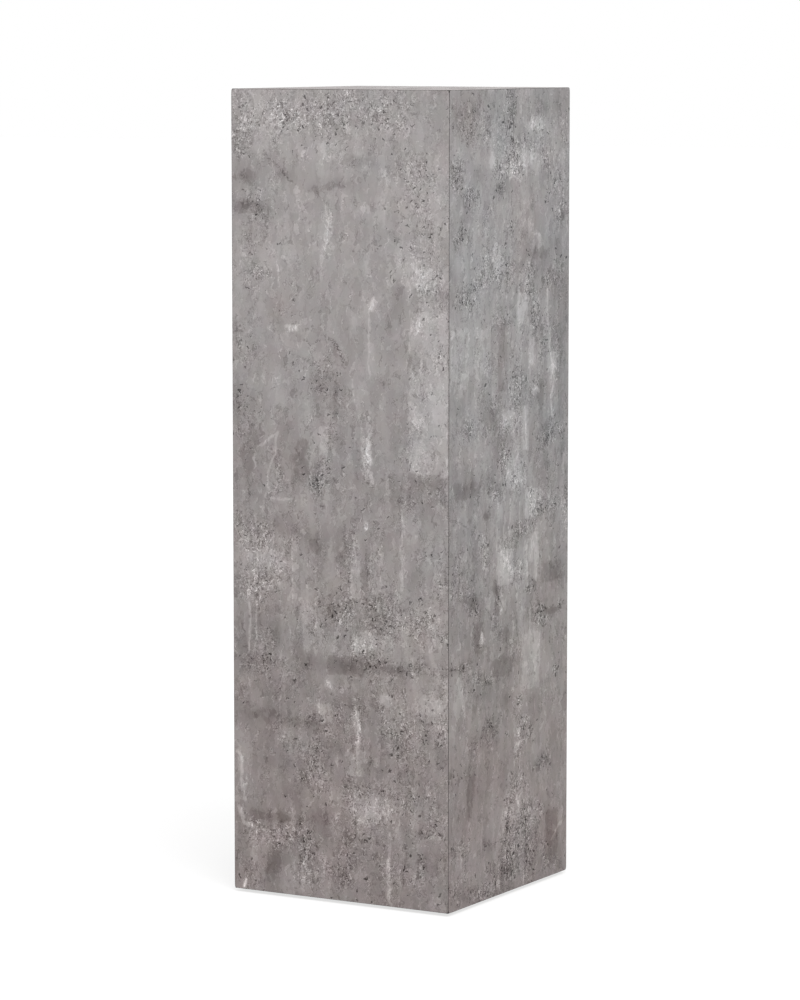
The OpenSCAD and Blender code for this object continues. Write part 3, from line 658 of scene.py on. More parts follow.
        (235, 645, 18, 8, 1.0), (282, 645, 18, 6, 1.0), (235, 661, 16, 6, 0.9), (20, 691, 20, 7, 1.0),
        (55, 712, 24, 14, 0.6), (125, 660, 8, 8, 0.6), (105, 770, 20, 16, 0.9), (192, 785, 16, 10, 1.0),
        (60, 792, 20, 10, 0.6), (15, 822, 20, 12, 0.7), (148, 900, 6, 24, 1.1), (122, 918, 30, 4, 0.9),
        (150, 950, 24, 24, 1.1), (202, 950, 14, 30, 1.0), (195, 898, 30, 14, 0.9), (120, 960, 20, 12, 0.8),
        (80, 972, 30, 14, 0.8), (218, 920, 14, 12, 0.8), (236, 836, 18, 10, 0.8), (260, 880, 14, 10, 0.6),
        (18, 914, 14, 10, 0.8), (275, 760, 14, 14, 0.6),
    ],
    "scratches": [
        (1.8, 0.9, (32, 240), (58, 240), (82, 229), (100, 233)), (1.8, 0.8, (196, 250), (214, 262)),
        (2.2, 1.1, (203, 287), (213, 279), (224, 268)), (1.8, 0.8, (232, 300), (243, 313)),
        (1.8, 0.9, (97, 315), (99, 326), (90, 334), (84, 330)), (1.8, 0.9, (118, 284), (160, 283)),
        (1.4, 0.8, (26, 271), (46, 271)), (1.4, 0.8, (26, 275), (50, 275)),
        (2.4, 0.9, (2, 510), (26, 515), (46, 525)), (2.0, 1.0, (176, 546), (192, 542), (206, 536)),
        (2.0, 1.0, (206, 536), (222, 530), (233, 519), (236, 508)), (2.2, 1.1, (155, 592), (163, 599)),
        (1.8, 0.9, (190, 616), (203, 611), (215, 614)), (2.6, 0.9, (116, 598), (120, 614), (134, 629)),
        (1.8, 0.8, (150, 640), (161, 656)), (2.0, 0.8, (165, 635), (169, 660), (178, 682)),
        (2.0, 0.9, (222, 646), (242, 645), (264, 643)), (1.8, 0.8, (222, 656), (248, 668)),
        (2.0, 0.9, (0, 688), (40, 696)), (1.6, 0.8, (100, 918), (125, 920), (136, 915)),
        (2.6, 1.1, (88, 912), (92, 923), (101, 914)),
        (2.2, 1.1, (148, 888), (146, 906), (151, 928), (145, 948)),
        (1.8, 1.0, (184, 891), (192, 898), (201, 907)), (1.8, 0.9, (212, 914), (222, 927)),
        (1.8, 0.8, (190, 940), (206, 962)), (2.0, 0.9, (140, 950), (158, 958)),
        (1.8, 0.8, (215, 896), (228, 899)), (1.6, 0.7, (155, 100), (165, 95), (176, 97)),
        (1.8, 0.8, (60, 96), (70, 96)), (2.8, 1.1, (126, 57)), (2.8, 1.1, (135, 59)), (2.4, 1.1, (146, 56)),
        (2.2, 1.0, (108, 79)), (2.4, 1.1, (22, 175)), (2.4, 1.1, (127, 214)), (2.2, 1.0, (190, 152)),
        (2.0, 1.0, (185, 147)), (2.4, 1.1, (72, 303)), (2.4, 1.0, (22, 308)), (2.4, 1.1, (71, 346)),
        (2.2, 1.0, (54, 348)), (2.4, 1.1, (128, 365)), (2.4, 1.1, (168, 374)), (2.4, 1.1, (58, 457)),
        (2.2, 1.0, (47, 431)), (2.2, 1.0, (223, 405)), (2.6, 1.1, (176, 812)), (2.4, 1.1, (58, 628)),
        (2.2, 1.0, (274, 723)), (2.0, 1.0, (172, 754), (178, 753)), (2.2, 1.0, (55, 779)),
        (2.2, 1.0, (20, 790)), (2.4, 1.0, (40, 817)), (2.4, 1.1, (5, 710)), (2.2, 1.0, (256, 684)),
        (2.4, 1.0, (155, 666)), (2.4, 1.1, (252, 904)), (2.4, 1.1, (55, 978)), (2.4, 1.0, (100, 978)),
        (2.4, 1.0, (205, 957)), (2.2, 1.0, (28, 907)),
    ],
    "runs": [
        (2.4, 0.9, (248, 248), (248, 285), (253, 320), (261, 342), (274, 350)),
        (2.4, 0.8, (261, 342), (263, 362), (256, 382), (259, 400), (266, 416)),
        (1.8, 0.8, (266, 145), (267, 176)), (1.8, 0.8, (276, 143), (278, 178)),
        (1.6, 0.7, (205, 178), (229, 180)), (1.8, 0.7, (150, 108), (178, 108)),
        (2.2, 0.7, (190, 388), (192, 442)), (2.0, 0.8, (210, 369), (224, 367), (226, 374)),
        (2.2, 0.6, (215, 370), (216, 390)), (3.0, 1.2, (80, 655), (86, 664), (80, 673)),
        (2.2, 0.8, (165, 812), (166, 830)), (2.2, 0.8, (176, 790), (186, 772)),
        (3.0, 1.0, (170, 803), (186, 802)), (2.2, 0.7, (82, 910), (82, 926)),
        (2.0, 0.6, (31, 915), (33, 980)), (2.6, 1.0, (124, 965), (129, 976)),
        (2.2, 0.9, (264, 938), (278, 929), (291, 922)), (2.4, 0.9, (173, 877), (177, 883)),
        (2.0, 0.8, (128, 560), (158, 588)), (2.2, 0.7, (152, 498), (150, 545)),
        (2.0, 0.7, (176, 505), (178, 560)), (2.2, 0.8, (139, 518), (137, 552)),
        (2.0, 0.65, (196, 560), (198, 610)), (2.0, 0.65, (168, 604), (172, 642)),
        (2.0, 0.65, (120, 520), (118, 562)), (2.2, 0.7, (160, 640), (158, 692)),
        (2.0, 0.6, (205, 640), (203, 668)), (1.8, 0.7, (285, 521), (300, 516)),
        (2.4, 0.7, (165, 860), (175, 872)), (2.0, 0.6, (243, 250), (243, 262)),
        (4.0, 1.1, (292, 458), (290, 478)), (3.0, 1.1, (252, 296), (254, 312)),
        (2.4, 1.0, (144, 560), (150, 592)), (2.2, 0.7, (140, 476), (147, 462)),
        (2.0, 0.6, (163, 745), (166, 800)),
    ],
}
prints = {"front": frontPrint, "right": rightPrint}


# Marks of the same kinds for a sheet that the photo doesn't show; the counts are for an upright sheet
def inventPrint(seed, width, height):
    draw = np.random.default_rng(seed)
    uprightArea = 304 * 986
    share = width * height / uprightArea
    upright = height > width * 2

    def ovals(count, wide, tall, low, high, signed=False):
        made = []
        for _ in range(round(count * share)):
            strength = draw.uniform(low, high)
            if signed and draw.random() < 0.55:
                strength = -strength
            made.append((draw.uniform(0, width), draw.uniform(0, height),
                         draw.uniform(*wide), draw.uniform(*tall), strength))
        return made

    def lines(count, thick, low, high, long, steep):
        made = []
        for _ in range(round(count * share)):
            spot = np.array([draw.uniform(0, width), draw.uniform(0, height)])
            points = [tuple(spot)]
            for _ in range(draw.integers(0, 3)):
                angle = draw.normal(math.pi / 2 if steep else 0.3, 0.35)
                spot = spot + draw.uniform(*long) * np.array([math.cos(angle), math.sin(angle)])
                points.append(tuple(spot))
            made.append((draw.uniform(*thick), draw.uniform(low, high), *points))
        return made

    return {
        # upright sheets grow darker towards the foot
        "fall": (6, -9) if upright else (2, -2),
        "warmFall": (-0.3, 0.9) if upright else (-0.2, 0.1),
        "grit": 1.0,
        "streaky": (0.9, 1.4),
        "shade": ovals(90, (6, 34), (7, 34), 4, 13, True),
        "rough": ovals(70, (8, 40), (8, 34), 0.3, 0.9),
        "warmth": ovals(12, (14, 50), (14, 50), 0.4, 1.0, True),
        "skim": ovals(30, (8, 30), (8, 42), 0.5, 1.0, True),
        "blocks": [(x, y, x + w, y + 2 * h, 0.8 if w > 10 else -0.8)
                   for x, y, w, h, _ in ovals(14, (5, 24), (8, 40), 0.5, 1.0)],
        "chalk": ovals(36, (5, 26), (5, 22), 0.5, 1.2),
        "pits": ovals(44, (5, 30), (6, 28), 0.5, 1.1),
        "scratches": lines(14, (1.6, 2.4), 0.6, 0.9, (6, 12), False) + [
            (draw.uniform(2.0, 2.8), 1.0, (draw.uniform(0, width), draw.uniform(0, height)))
            for _ in range(round(40 * share))],
        "runs": lines(24, (1.8, 3.0), 0.6, 1.0, (18, 46), True),
        "olive": ovals(8, (40, 110), (40, 90), 0.4, 1.0, True),
    }


# How the marks are laid on a sheet
markShape = {
    "bends": {               # what bends the outlines: millimetres far, millimetres across, seed
        "broad": ((5.0, 23.0, 0), (2.6, 8.0, 5)),
        "fine": ((1.6, 17.0, 9), (1.2, 5.0, 13)),
    },
    "changes": {             # shares of the height where each starts and ends its change
        "fall": (0.1, 1.0),
        "warmFall": (0.38, 0.9),
        "streaky": (0.4, 0.56),
    },
    "skimEdge": 1.6,         # how firm a skim's outline is, 1 for a soft one
    "blockEdge": 6.0,        # millimetres
    "apart": 4000,           # millimetres between the prints of two sheets
}


# Smooth noise from -1 to 1 on points, for bending the marks' outlines
def ripple(at, size, seed):
    cells = 64
    table = np.random.default_rng(seed).uniform(-1, 1, (cells, cells))
    spot = at / size + seed * 0.37
    cell = np.floor(spot).astype(int)
    part = spot - cell
    part = part * part * (3 - 2 * part)
    x0, y0 = cell[:, 0] % cells, cell[:, 1] % cells
    x1, y1 = (x0 + 1) % cells, (y0 + 1) % cells
    upper = table[y0, x0] * (1 - part[:, 0]) + table[y0, x1] * part[:, 0]
    lower = table[y1, x0] * (1 - part[:, 0]) + table[y1, x1] * part[:, 0]
    return upper * (1 - part[:, 1]) + lower * part[:, 1]


def bendPoints(at, bends, seed):
    for far, size, step in bends:
        at = at + np.stack([ripple(at, size, seed + step), ripple(at, size, seed + step + 1)], 1) * far
    return at


# From first to last as share goes from low to high, smoothly
def eased(share, low, high, first, last):
    part = np.clip((share - low) / (high - low), 0, 1)
    return first + (last - first) * part * part * (3 - 2 * part)


def stronger(first, second):
    return np.where(np.abs(first) > np.abs(second), first, second)


# Soft ovals: their sum at each point, or the strongest one
def ovalStrength(at, marks, sharp=1.0, strongest=False):
    total = np.zeros(len(at))
    for across, down, halfAcross, halfDown, strength in marks:
        away = ((at[:, 0] - across) / halfAcross) ** 2 + ((at[:, 1] - down) / halfDown) ** 2
        value = strength * np.exp(-away ** sharp)
        total = stronger(value, total) if strongest else total + value
    return total


# Blocks with a firm edge: the strongest at each point
def blockStrength(at, marks, edge):
    total = np.zeros(len(at))
    for left, top, right, bottom, strength in marks:
        inAcross = np.minimum(at[:, 0] - left, right - at[:, 0])
        inDown = np.minimum(at[:, 1] - top, bottom - at[:, 1])
        value = strength * np.clip(0.5 + np.minimum(inAcross, inDown) / edge, 0, 1)
        total = stronger(value, total)
    return total


def lineStrength(at, marks):
    total = np.zeros(len(at))
    for thick, strength, *points in marks:
        for start, end in zip(points, points[1:] or points):
            start = np.array(start, float)
            span = np.array(end, float) - start
            length = max(float(span @ span), 1e-9)
            share = np.clip((at - start) @ span / length, 0, 1)
            away = np.linalg.norm(at - start - share[:, None] * span, axis=1)
            total = np.maximum(total, strength * np.exp(-(away / thick) ** 2))
    return total


def readValues(items, name, kind, each=1):
    values = np.empty(len(items) * each, kind)
    items.foreach_get(name, values)
    return values.reshape(-1, each) if each > 1 else values


# The marks as attributes of the mesh's points, and the place in the print that each point has
def printSheet(mesh, marks, height, seed, shape):
    flat = readValues(mesh.attributes["flatAt"].data, "vector", np.float32, 3)
    width = flat[:, 0].max() - flat[:, 0].min()
    at = np.stack([flat[:, 0] + width / 2, height / 2 - flat[:, 1]], 1) * perMetre
    down = at[:, 1] / (height * perMetre)
    broad, fine = (bendPoints(at, bends, seed) for bends in shape["bends"].values())
    fall, warmFall, streaky = (
        eased(down, *ends, *marks[name]) for name, ends in shape["changes"].items())
    skim = ovalStrength(broad, marks["skim"], shape["skimEdge"], True)
    values = {
        "shade": fall + ovalStrength(broad, marks["shade"]),
        "rough": ovalStrength(broad, marks["rough"]) * marks["grit"],
        "warmth": warmFall + ovalStrength(broad, marks["warmth"]),
        "olive": ovalStrength(broad, marks["olive"]),
        "streaky": streaky,
        "skim": stronger(blockStrength(fine, marks["blocks"], shape["blockEdge"]), skim),
        "chalk": ovalStrength(broad, marks["chalk"], strongest=True),
        "pits": ovalStrength(broad, marks["pits"], strongest=True),
        "scratch": lineStrength(fine, marks["scratches"]),
        "run": lineStrength(fine, marks["runs"]),
    }
    for name, value in values.items():
        data = mesh.attributes.new(name, "FLOAT", "POINT").data
        data.foreach_set("value", np.ascontiguousarray(value, np.float32))
    placed = np.zeros((len(at), 3), np.float32)
    placed[:, 0] = at[:, 0] + flat[:, 2] * shape["apart"]
    placed[:, 1] = -at[:, 1]
    mesh.attributes.new("printAt", "FLOAT_VECTOR", "POINT").data.foreach_set("vector", placed.ravel())


flatMap = {
    "middle": (0.5, 0.47),
    "share": (0.98, 0.92),   # of the map's width and height, for the outer face
    "strip": (0.96, 0.03),   # where the inner face's strip starts, and how tall it is
}


# A flat map of the outer face, with the inner one in a strip above it
def mapSheet(mesh, width, height, flatMap):
    place = readValues(mesh.vertices, "co", np.float32, 3)
    corners = readValues(mesh.loops, "vertex_index", np.int32)
    starts = readValues(mesh.polygons, "loop_start", np.int32)
    totals = readValues(mesh.polygons, "loop_total", np.int32)
    across, up = flatMap["middle"]
    wide, tall = flatMap["share"]
    outer = np.stack([across + place[:, 0] / width * wide, up + place[:, 1] / height * tall], 1)
    start, strip = flatMap["strip"]
    inner = np.stack([outer[:, 0], start + strip * outer[:, 1]], 1)
    deepest = place[:, 2].min() + 1e-6
    isInner = np.logical_and.reduceat(place[corners, 2] < deepest, starts)
    perCorner = np.repeat(isInner, totals)
    uv = np.where(perCorner[:, None], inner[corners], outer[corners]).astype(np.float32)
    mesh.uv_layers.new(name="OFBake").data.foreach_set("uv", uv.ravel())


concreteLook = {
    "level": 149.4,          # mean grey as it looks, from 0 to 255
    "shade": 1.6,            # how far the broad marks count
    "tear": 13.0,            # millimetres that torn outlines wander
    "skimFray": 1.3,         # how far the noise moves a skim's outline
    "skimBounds": (0.4, 0.5),
    "veilEdge": 0.012,       # how soft the outline of a thin skin is
    "edge": (46, 41, 39),
    "roughness": 0.58,
    # where the surface is rough: what the marks and the noise count, and from what sum on
    "roughMarks": 0.9,
    "roughSkin": 1.6,
    "roughFrom": 0.05,
    "roughGain": 1.2,
    "roughMost": 0.77,
    "betweenClumps": 0.3,
    # as if lit from the upper left: millimetres from a spot to where its rim, its relief or its lip is read
    "rimFrom": (-0.9, 0.7),
    "reliefFrom": (-0.8, 0.8),
    "lipFrom": (-0.9, 1.0),
    # contrast of each kind of mark, in the same levels
    "layers": {
        "lumps": 10.0,
        "clouds": 15.0,
        "broadStreaks": 13.0,
        "fineStreaks": 5.5,
        "veils": 6.5,
        "flakes": 12.0,
        "chips": 8.0,
        "mottle": 15.5,
        "skim": 13.5,
        "skimRim": 11.0,
    },
    # the same for each texture of the rough places, and the share of it that shows elsewhere
    "textures": {
        "fineVeils": (18.0, 0.03),
        "shortStreaks": (12.0, 0.1),
        "crust": (67.0, 0.01),
        "fineCrust": (62.0, 0.01),
        "relief": (30.0, 0.02),
        "darkCrumbs": (72.0, 0.02),
        "paleCrumbs": (58.0, 0.02),
        "grain": (46.0, 0.1),
    },
    "specks": 34.0,
    "runs": 26.0,
    "pits": 62.0,
    "pitLips": 21.7,
    "scratches": 44.0,
    # the tone: warm from blue to red, rosy away from green, and how far each follows the warmth of the marks
    "warm": 6.5,
    "warmShare": 3.4,
    "rosy": 2.3,
    "rosyShare": 0.9,
    "rosyPatches": 6.0,
}

# The noises in the print: millimetres across, detail, roughness, stretch down the sheet, seed
concreteNoise = {
    "lumps": (120, 3, 0.5, 1, 3),
    "clouds": (38, 3, 0.6, 1.35, 11),
    "broadStreaks": (11, 2, 0.5, 6, 23),
    "fineStreaks": (4.2, 2, 0.5, 6, 27),
    "mottle": (9, 4, 0.6, 1.2, 31),
    "skin": (26, 5, 0.62, 1.5, 37),
    "clumps": (7, 4, 0.6, 1.2, 41),
    "grain": (1.7, 2, 0.65, 1, 43),
    "crust": (6, 4, 0.64, 1, 47),
    "relief": (2.8, 3, 0.6, 1, 49),
    "specks": (3.2, 4, 0.7, 1.25, 51),
    "fineCrust": (2.3, 3, 0.64, 1, 53),
    "skimEdge": (9, 5, 0.64, 1.8, 57),
    "runEdge": (4.5, 4, 0.64, 1.8, 61),
    "paleStreaks": (3, 2, 0.5, 8, 63),
    "darkStreaks": (3.2, 2, 0.5, 7, 65),
    "darkCrumbs": (1.8, 2, 0.7, 1.15, 67),
    "paleCrumbs": (1.9, 2, 0.7, 1.15, 69),
    "pitClumps": (4.2, 4, 0.68, 1.2, 81),
    "threads": (12, 4, 0.62, 1, 83),
    "threadZones": (17, 3, 0.55, 1, 91),
    "breaks": (2.4, 3, 0.7, 1, 95),
    "scratchEdge": (3.4, 3, 0.6, 1, 97),
    "tone": (60, 4, 0.55, 1, 101),
    "fineTone": (12, 5, 0.7, 1, 103),
    "rosyPatches": (24, 4, 0.6, 1, 105),
    "scuffs": (1.6, 3, 0.6, 1, 111),
    "tear": (8, 2, 0.6, 1, 121),
}

# Noises cut to firm shapes: the bounds between which each fades in
concreteBounds = {
    "clumps": (-0.13, 0.1),
    "paleStreaks": (0.1, 0.2),
    "darkStreaks": (0.1, 0.2),
    "darkCrumbs": (0.12, 0.19),
    "paleCrumbs": (0.13, 0.2),
    "breaks": (-0.03, 0.05),
}

# Dark worm lines: how fine they are, and the mean that is taken off
concreteCrusts = {
    "crust": (9, 0.6),
    "fineCrust": (8, 0.56),
}

# Round pits, at most one to a cell
concretePits = {
    "cell": (4.4, 1.15, 71),         # millimetres, stretch down the sheet, seed
    "chance": (0.34, 0.16, 0.02),    # what pit marks and rough ones add, and the chance with neither
    "outer": (0.26, 0.2),            # radius where a pit ends: what its depth adds, and the least
    "inner": (0.16, 0.06),           # the same where it is darkest
    "clumpBounds": (0.69, 0.78),
}

# Thin skins of lime: millimetres across, stretch down the sheet, bound, seed, strength of the rim
concreteVeils = {
    "wide": (17, 3.2, 0.0, 29, 0.5),
    "widest": (30, 1.8, 0.03, 39, 0.3),
    "paleFlakes": (9, 2.3, 0.15, 45, 0.7),
    "darkFlakes": (9, 2.3, 0.15, 59, 0.7),
    "chips": (5.5, 1.9, 0.21, 75, 0.9),
    "fine": (5, 2.6, 0.03, 33, 0.8),
    "finest": (4, 1.6, -0.02, 35, 0.8),
}


def concretePrint(look):
    material, web, shader = newMaterial("concretePrint", Specular_IOR_Level=0.3)
    at = web.attribute("printAt", "Vector")
    names = ("shade", "rough", "warmth", "olive", "streaky", "skim", "chalk", "pits", "scratch", "run")
    shade, rough, warmth, olive, streaky, skim, chalk, pits, scratch, run = map(web.attribute, names)
    rim = web.attribute("rim") * perMetre
    worn = web.attribute("worn") * perMetre

    def noise(name, place=at, bend=0.0):
        size, detail, sharp, tall, seed = concreteNoise[name]
        return web.noise(place, size, detail, sharp, (1, tall, 1), seed, True, bend)

    def centred(name, place=at, bend=0.0):
        return noise(name, place, bend) - 0.5

    def firm(name, place=at):
        return centred(name, place).step(*concreteBounds[name])

    def beside(place, way):
        return web.vectorMath("ADD", place, (*way, 0))

    # The print's own place shifted a little, so that outlines look torn
    tear = web.vectorMath("SUBTRACT", noise("tear").output("Color"), (0.5, 0.5, 0.5))
    torn = web.vectorMath("MULTIPLY_ADD", tear, (look["tear"], look["tear"], 0), at)
    tornBeside = beside(torn, look["rimFrom"])

    # Thin dark worm lines between pale crumbs
    def crust(name):
        fine, mean = concreteCrusts[name]
        return (abs(centred(name, bend=0.7)) * fine).atMost(1.0) - mean

    # A skin with a lit rim at its upper left and a dark one at its lower right; more lets it spread
    def veil(name, more=0.0):
        size, tall, bound, seed, rimShare = concreteVeils[name]

        def lies(place):
            covered = web.noise(place, size, 3, 0.54, (1, tall, 1), seed, True, 0.3) - 0.5 + more
            return covered.step(bound - look["veilEdge"], bound + look["veilEdge"])

        here = lies(torn)
        return here + (here - lies(tornBeside)) * rimShare

    # Crisp-edged skims, pale where skim is above 0 and dark where it's below, calm inside
    def frayedSkim(place):
        return skim + centred("skimEdge", place) * look["skimFray"]

    low, high = look["skimBounds"]
    frayed = frayedSkim(torn)
    pale = frayed.step(low, high)
    stained = frayed.step(-low, -high)
    skims = (pale - stained) * (abs(skim) * 0.5 + 0.7)
    skimRims = pale - frayedSkim(tornBeside).step(low, high)
    calm = 1 - (pale * 0.4).atLeast(stained * 0.55)

    # Where the surface is rough, in clumps
    busy = rough * look["roughMarks"] + centred("skin") * look["roughSkin"] - look["roughFrom"]
    busy = busy.atLeast(0.0) * (firm("clumps") + look["betweenClumps"]) * calm * look["roughGain"]
    busy = busy.atMost(look["roughMost"])
    mottle = centred("mottle")
    grain = centred("grain")
    fineStreaks = centred("fineStreaks", torn)
    layers = {
        "lumps": centred("lumps"),
        "clouds": centred("clouds"),
        "broadStreaks": centred("broadStreaks", torn) * (streaky * 0.7 + 0.3),
        "fineStreaks": fineStreaks * streaky,
        "veils": veil("wide") + veil("widest") - 1,
        "flakes": veil("paleFlakes", chalk * 0.17) - veil("darkFlakes", pits * 0.12),
        "chips": veil("chips", chalk * 0.15),
        "mottle": mottle * (busy * 0.6 + calm * 0.35),
        "skim": skims,
        "skimRim": skimRims,
    }

    # Texture of the rough places. The relief is one noise read at two places
    textures = {
        "fineVeils": veil("fine") + veil("finest") - 1,
        "shortStreaks": (firm("paleStreaks", torn) - firm("darkStreaks", torn)) * streaky,
        "crust": crust("crust"),
        "fineCrust": crust("fineCrust"),
        "relief": noise("relief", beside(at, look["reliefFrom"])) - noise("relief"),
        "darkCrumbs": firm("darkCrumbs") * -1,
        "paleCrumbs": firm("paleCrumbs"),
        "grain": grain,
    }
    level = shade * look["shade"] + look["level"]
    for name, contrast in look["layers"].items():
        level = level + layers[name] * contrast
    for name, (contrast, elsewhere) in look["textures"].items():
        level = level + textures[name] * (busy + elsewhere) * contrast

    # Lime specks and pale runs
    specks = (noise("specks") + chalk * 0.2).step(0.68, 0.78) * (chalk * 0.8 + 0.35).atMost(1.1)
    running = (run + centred("runEdge") * run.step(0.02, 0.3) * 1.4).step(0.22, 0.62)
    level = level + (specks * look["specks"]).atLeast(running * (run * 0.8 + 0.25) * look["runs"])

    # Dark pits with a pale lower edge, and scratches
    def holes(place):
        size, tall, seed = concretePits["cell"]
        cell = web.cells(place, size, (1, tall, 1), seed, True)
        draw, depth, _ = web.parts(cell.output("Color"))
        marked, roughened, bare = concretePits["chance"]
        present = (pits * marked + rough * roughened + bare - draw).step(0.0, 0.02)

        def radius(part):
            more, least = concretePits[part]
            return depth * more + least

        single = cell.step(radius("outer"), radius("inner")) * present
        clump = (noise("pitClumps", place) + pits * 0.15).step(*concretePits["clumpBounds"])
        return single.atLeast(clump * (pits * 0.7 + 0.15).atMost(0.85))

    hole = holes(torn)
    lip = holes(beside(torn, look["lipFrom"])) * (1 - hole)
    thread = (1 - abs(centred("threads")) * 26).atLeast(0.0)
    thread = thread * (centred("threadZones") + pits * 0.1 + rough * 0.1).step(0.08, 0.2)
    scratched = (scratch + centred("scratchEdge") * 0.9).step(0.4, 0.6) * firm("breaks")
    level = level - hole * look["pits"] + lip * look["pitLips"]
    level = level - (thread * 0.6).atLeast(scratched * (scratch * 0.7 + 0.2)) * look["scratches"]

    tone = warmth + centred("tone") * 2.2 + centred("fineTone") * 1.4
    tone = tone - specks * 0.7 - pale * 0.15 - hole * 0.5 + stained * 0.2
    warm = tone * look["warmShare"] + look["warm"]
    rosy = tone * look["rosyShare"] + centred("rosyPatches") * look["rosyPatches"] + look["rosy"] - olive
    levels = (level + warm / 2 + rosy / 3, level - rosy * (2 / 3), level - warm / 2 + rosy / 3)
    channels = [(each / whiteLevel).atLeast(0.0) ** displayPower for each in levels]
    colour = web.node("ShaderNodeCombineColor", None, dict(enumerate(channels)))

    # The dark cut edge of the sheet, with scuffs along it
    edge = (worn + grain * 0.05).step(0.03, 0.09).atLeast((rim + grain * 0.6).step(0.5, 0.25))
    scuff = (noise("scuffs") - rim * 0.22).step(0.42, 0.55)
    colour = web.mixColour(edge.atLeast(scuff * 0.4), colour, paint(look["edge"]))
    bump = web.bump(0.25, 0.1 * mm, mottle * 0.5 + grain * 0.35 + fineStreaks * 0.2 - hole * 0.8)
    roughness = mottle * 0.25 + look["roughness"] + hole * 0.2
    feed(web, shader, Base_Color=colour, Roughness=roughness, Normal=bump)
    return material


concrete = concretePrint(concreteLook)
sheetTree = buildSheetTree(concrete, sheetShape)
shape = sheetShape
for number, (side, sheet) in enumerate(sheets.items()):
    width = body[sheet["width"]]
    height = body["depth"] if side == "top" else body["height"]
    sizes = {
        "Width": width, "Height": height, "Thickness": body["sheet"],
        "Foot Inset": body["sheet"] if side == "top" else 0.0,
        "Columns": round(width / shape["spacing"]) + 2 * shape["borderRows"],
        "Rows": round(height / shape["spacing"]) + 2 * shape["borderRows"],
        "Border": shape["border"], "Border Rows": shape["borderRows"],
        "Easing": shape["easing"], "Wander": shape["easingWander"],
        "Tip": shape["tip"], "Tip Reach": shape["tipReach"], "Chip": shape["chip"],
        "Sheet": float(number),
    }
    mesh = grow(side + "_sheet", sheetTree, sizes)
    marks = prints.get(side) or inventPrint(40 + number, width * perMetre, height * perMetre)
    printSheet(mesh, marks, height, 10 * number + 1, markShape)
    mapSheet(mesh, width, height, flatMap)
    mesh.transform(placement(sheet["axes"], sheet["centre"]))
    mesh.shade_smooth()
    mesh.set_sharp_from_angle(angle=math.radians(shape["sharpFrom"]))
    addPiece(side + "_sheet", mesh, "concrete_laminate", side + "_laminate")
    print("sheet", side, len(mesh.polygons), "faces")


# Bare woods, steel and plastic of the pieces inside and underneath
fibreboardLook = {
    "face": (184, 156, 121),
    "dark": (141, 113, 83),
    "dust": (214, 194, 164),
    "roughness": 0.84,
}


def fibreboard(look):
    material, web, shader = newMaterial("fibreboard", Specular_IOR_Level=0.2)
    at = web.place()

    def felt(stretch, seed):
        return web.noise(at, 1.5, 3, 0.7, stretch, seed)

    fibres = felt((5, 1, 1), 3).atLeast(felt((1, 5, 1), 7)).atLeast(felt((1, 1, 5), 11))
    clouds = web.noise(at, 26, 4, 0.6, seed=13)
    chips = web.noise(at, 2.2, 2, 0.7, (1.6, 1, 1), 17).step(0.64, 0.72)
    dusty = web.noise(at, 9, 5, 0.7, seed=19).step(0.55, 0.72)
    colour = web.layered(
        look, "dark", (fibres.step(0.44, 0.74), "face"), (clouds.step(0.5, 0.75) * 0.35, "dark"),
        (chips * 0.5, "dark"), (dusty * 0.35, "dust"))
    bump = web.bump(0.4, 0.15 * mm, fibres + chips * -0.4)
    feed(web, shader, Base_Color=colour, Roughness=(clouds - 0.5) * 0.2 + look["roughness"], Normal=bump)
    return material


softwoodLook = {
    "early": (228, 199, 152),
    "late": (188, 141, 88),
    "aged": (212, 172, 120),
    "ringWidth": 3.4,        # millimetres
    "heart": (60, 85),       # how far off the rings' middle lies, in millimetres
    "roughness": 0.66,
}


# Pine whose grain runs along one axis
def softwood(look, axis):
    material, web, shader = newMaterial("softwood" + "XYZ"[axis], Specular_IOR_Level=0.3)
    at = web.place()

    def along(times):
        return [times if index == axis else 1 for index in range(3)]

    sway = web.noise(at, 24, 3, 0.5, along(14), 5) * 16
    others = [part for index, part in enumerate(web.parts(at)) if index != axis]
    reach = (others[0] + look["heart"][0]) ** 2 + (others[1] + look["heart"][1]) ** 2
    ring = ((reach.math("SQRT") + sway) / look["ringWidth"]).math("FRACT")
    late = ring.step(0.45, 0.92) * ring.step(1.0, 0.95)
    fibres = web.noise(at, 0.8, 3, 0.6, along(40), 9)
    broad = web.noise(at, 40, 3, 0.5, seed=15)
    colour = web.layered(
        look, "early", (late * 0.85, "late"), (fibres.step(0.45, 0.75) * 0.3, "late"),
        (broad.step(0.45, 0.7) * 0.2, "aged"))
    bump = web.bump(0.3, 0.1 * mm, late * -0.4 + fibres)
    feed(web, shader, Base_Color=colour, Roughness=(fibres - 0.5) * 0.3 + look["roughness"], Normal=bump)
    return material


beechLook = {
    "face": (206, 163, 118),
    "fleck": (158, 108, 70),
    "pale": (226, 190, 146),
    "roughness": 0.6,
}


def beech(look):
    material, web, shader = newMaterial("pressedBeech", Specular_IOR_Level=0.3)
    at = web.place()
    flecks = web.noise(at, 0.7, 2, 0.6, (1, 1, 4), 3).step(0.58, 0.68)
    pressed = web.cells(at, 1.6, seed=5).step(0.3, 0.6)
    clouds = web.noise(at, 12, 4, 0.6, seed=9)
    colour = web.layered(look, "face", (flecks * 0.6, "fleck"), (clouds.step(0.45, 0.7) * 0.3, "pale"))
    bump = web.bump(0.3, 0.1 * mm, pressed - flecks * 0.3)
    feed(web, shader, Base_Color=colour, Roughness=(clouds - 0.5) * 0.2 + look["roughness"], Normal=bump)
    return material


zincLook = {
    "bright": (206, 208, 211),
    "dull": (158, 162, 168),
    "roughness": 0.34,
}


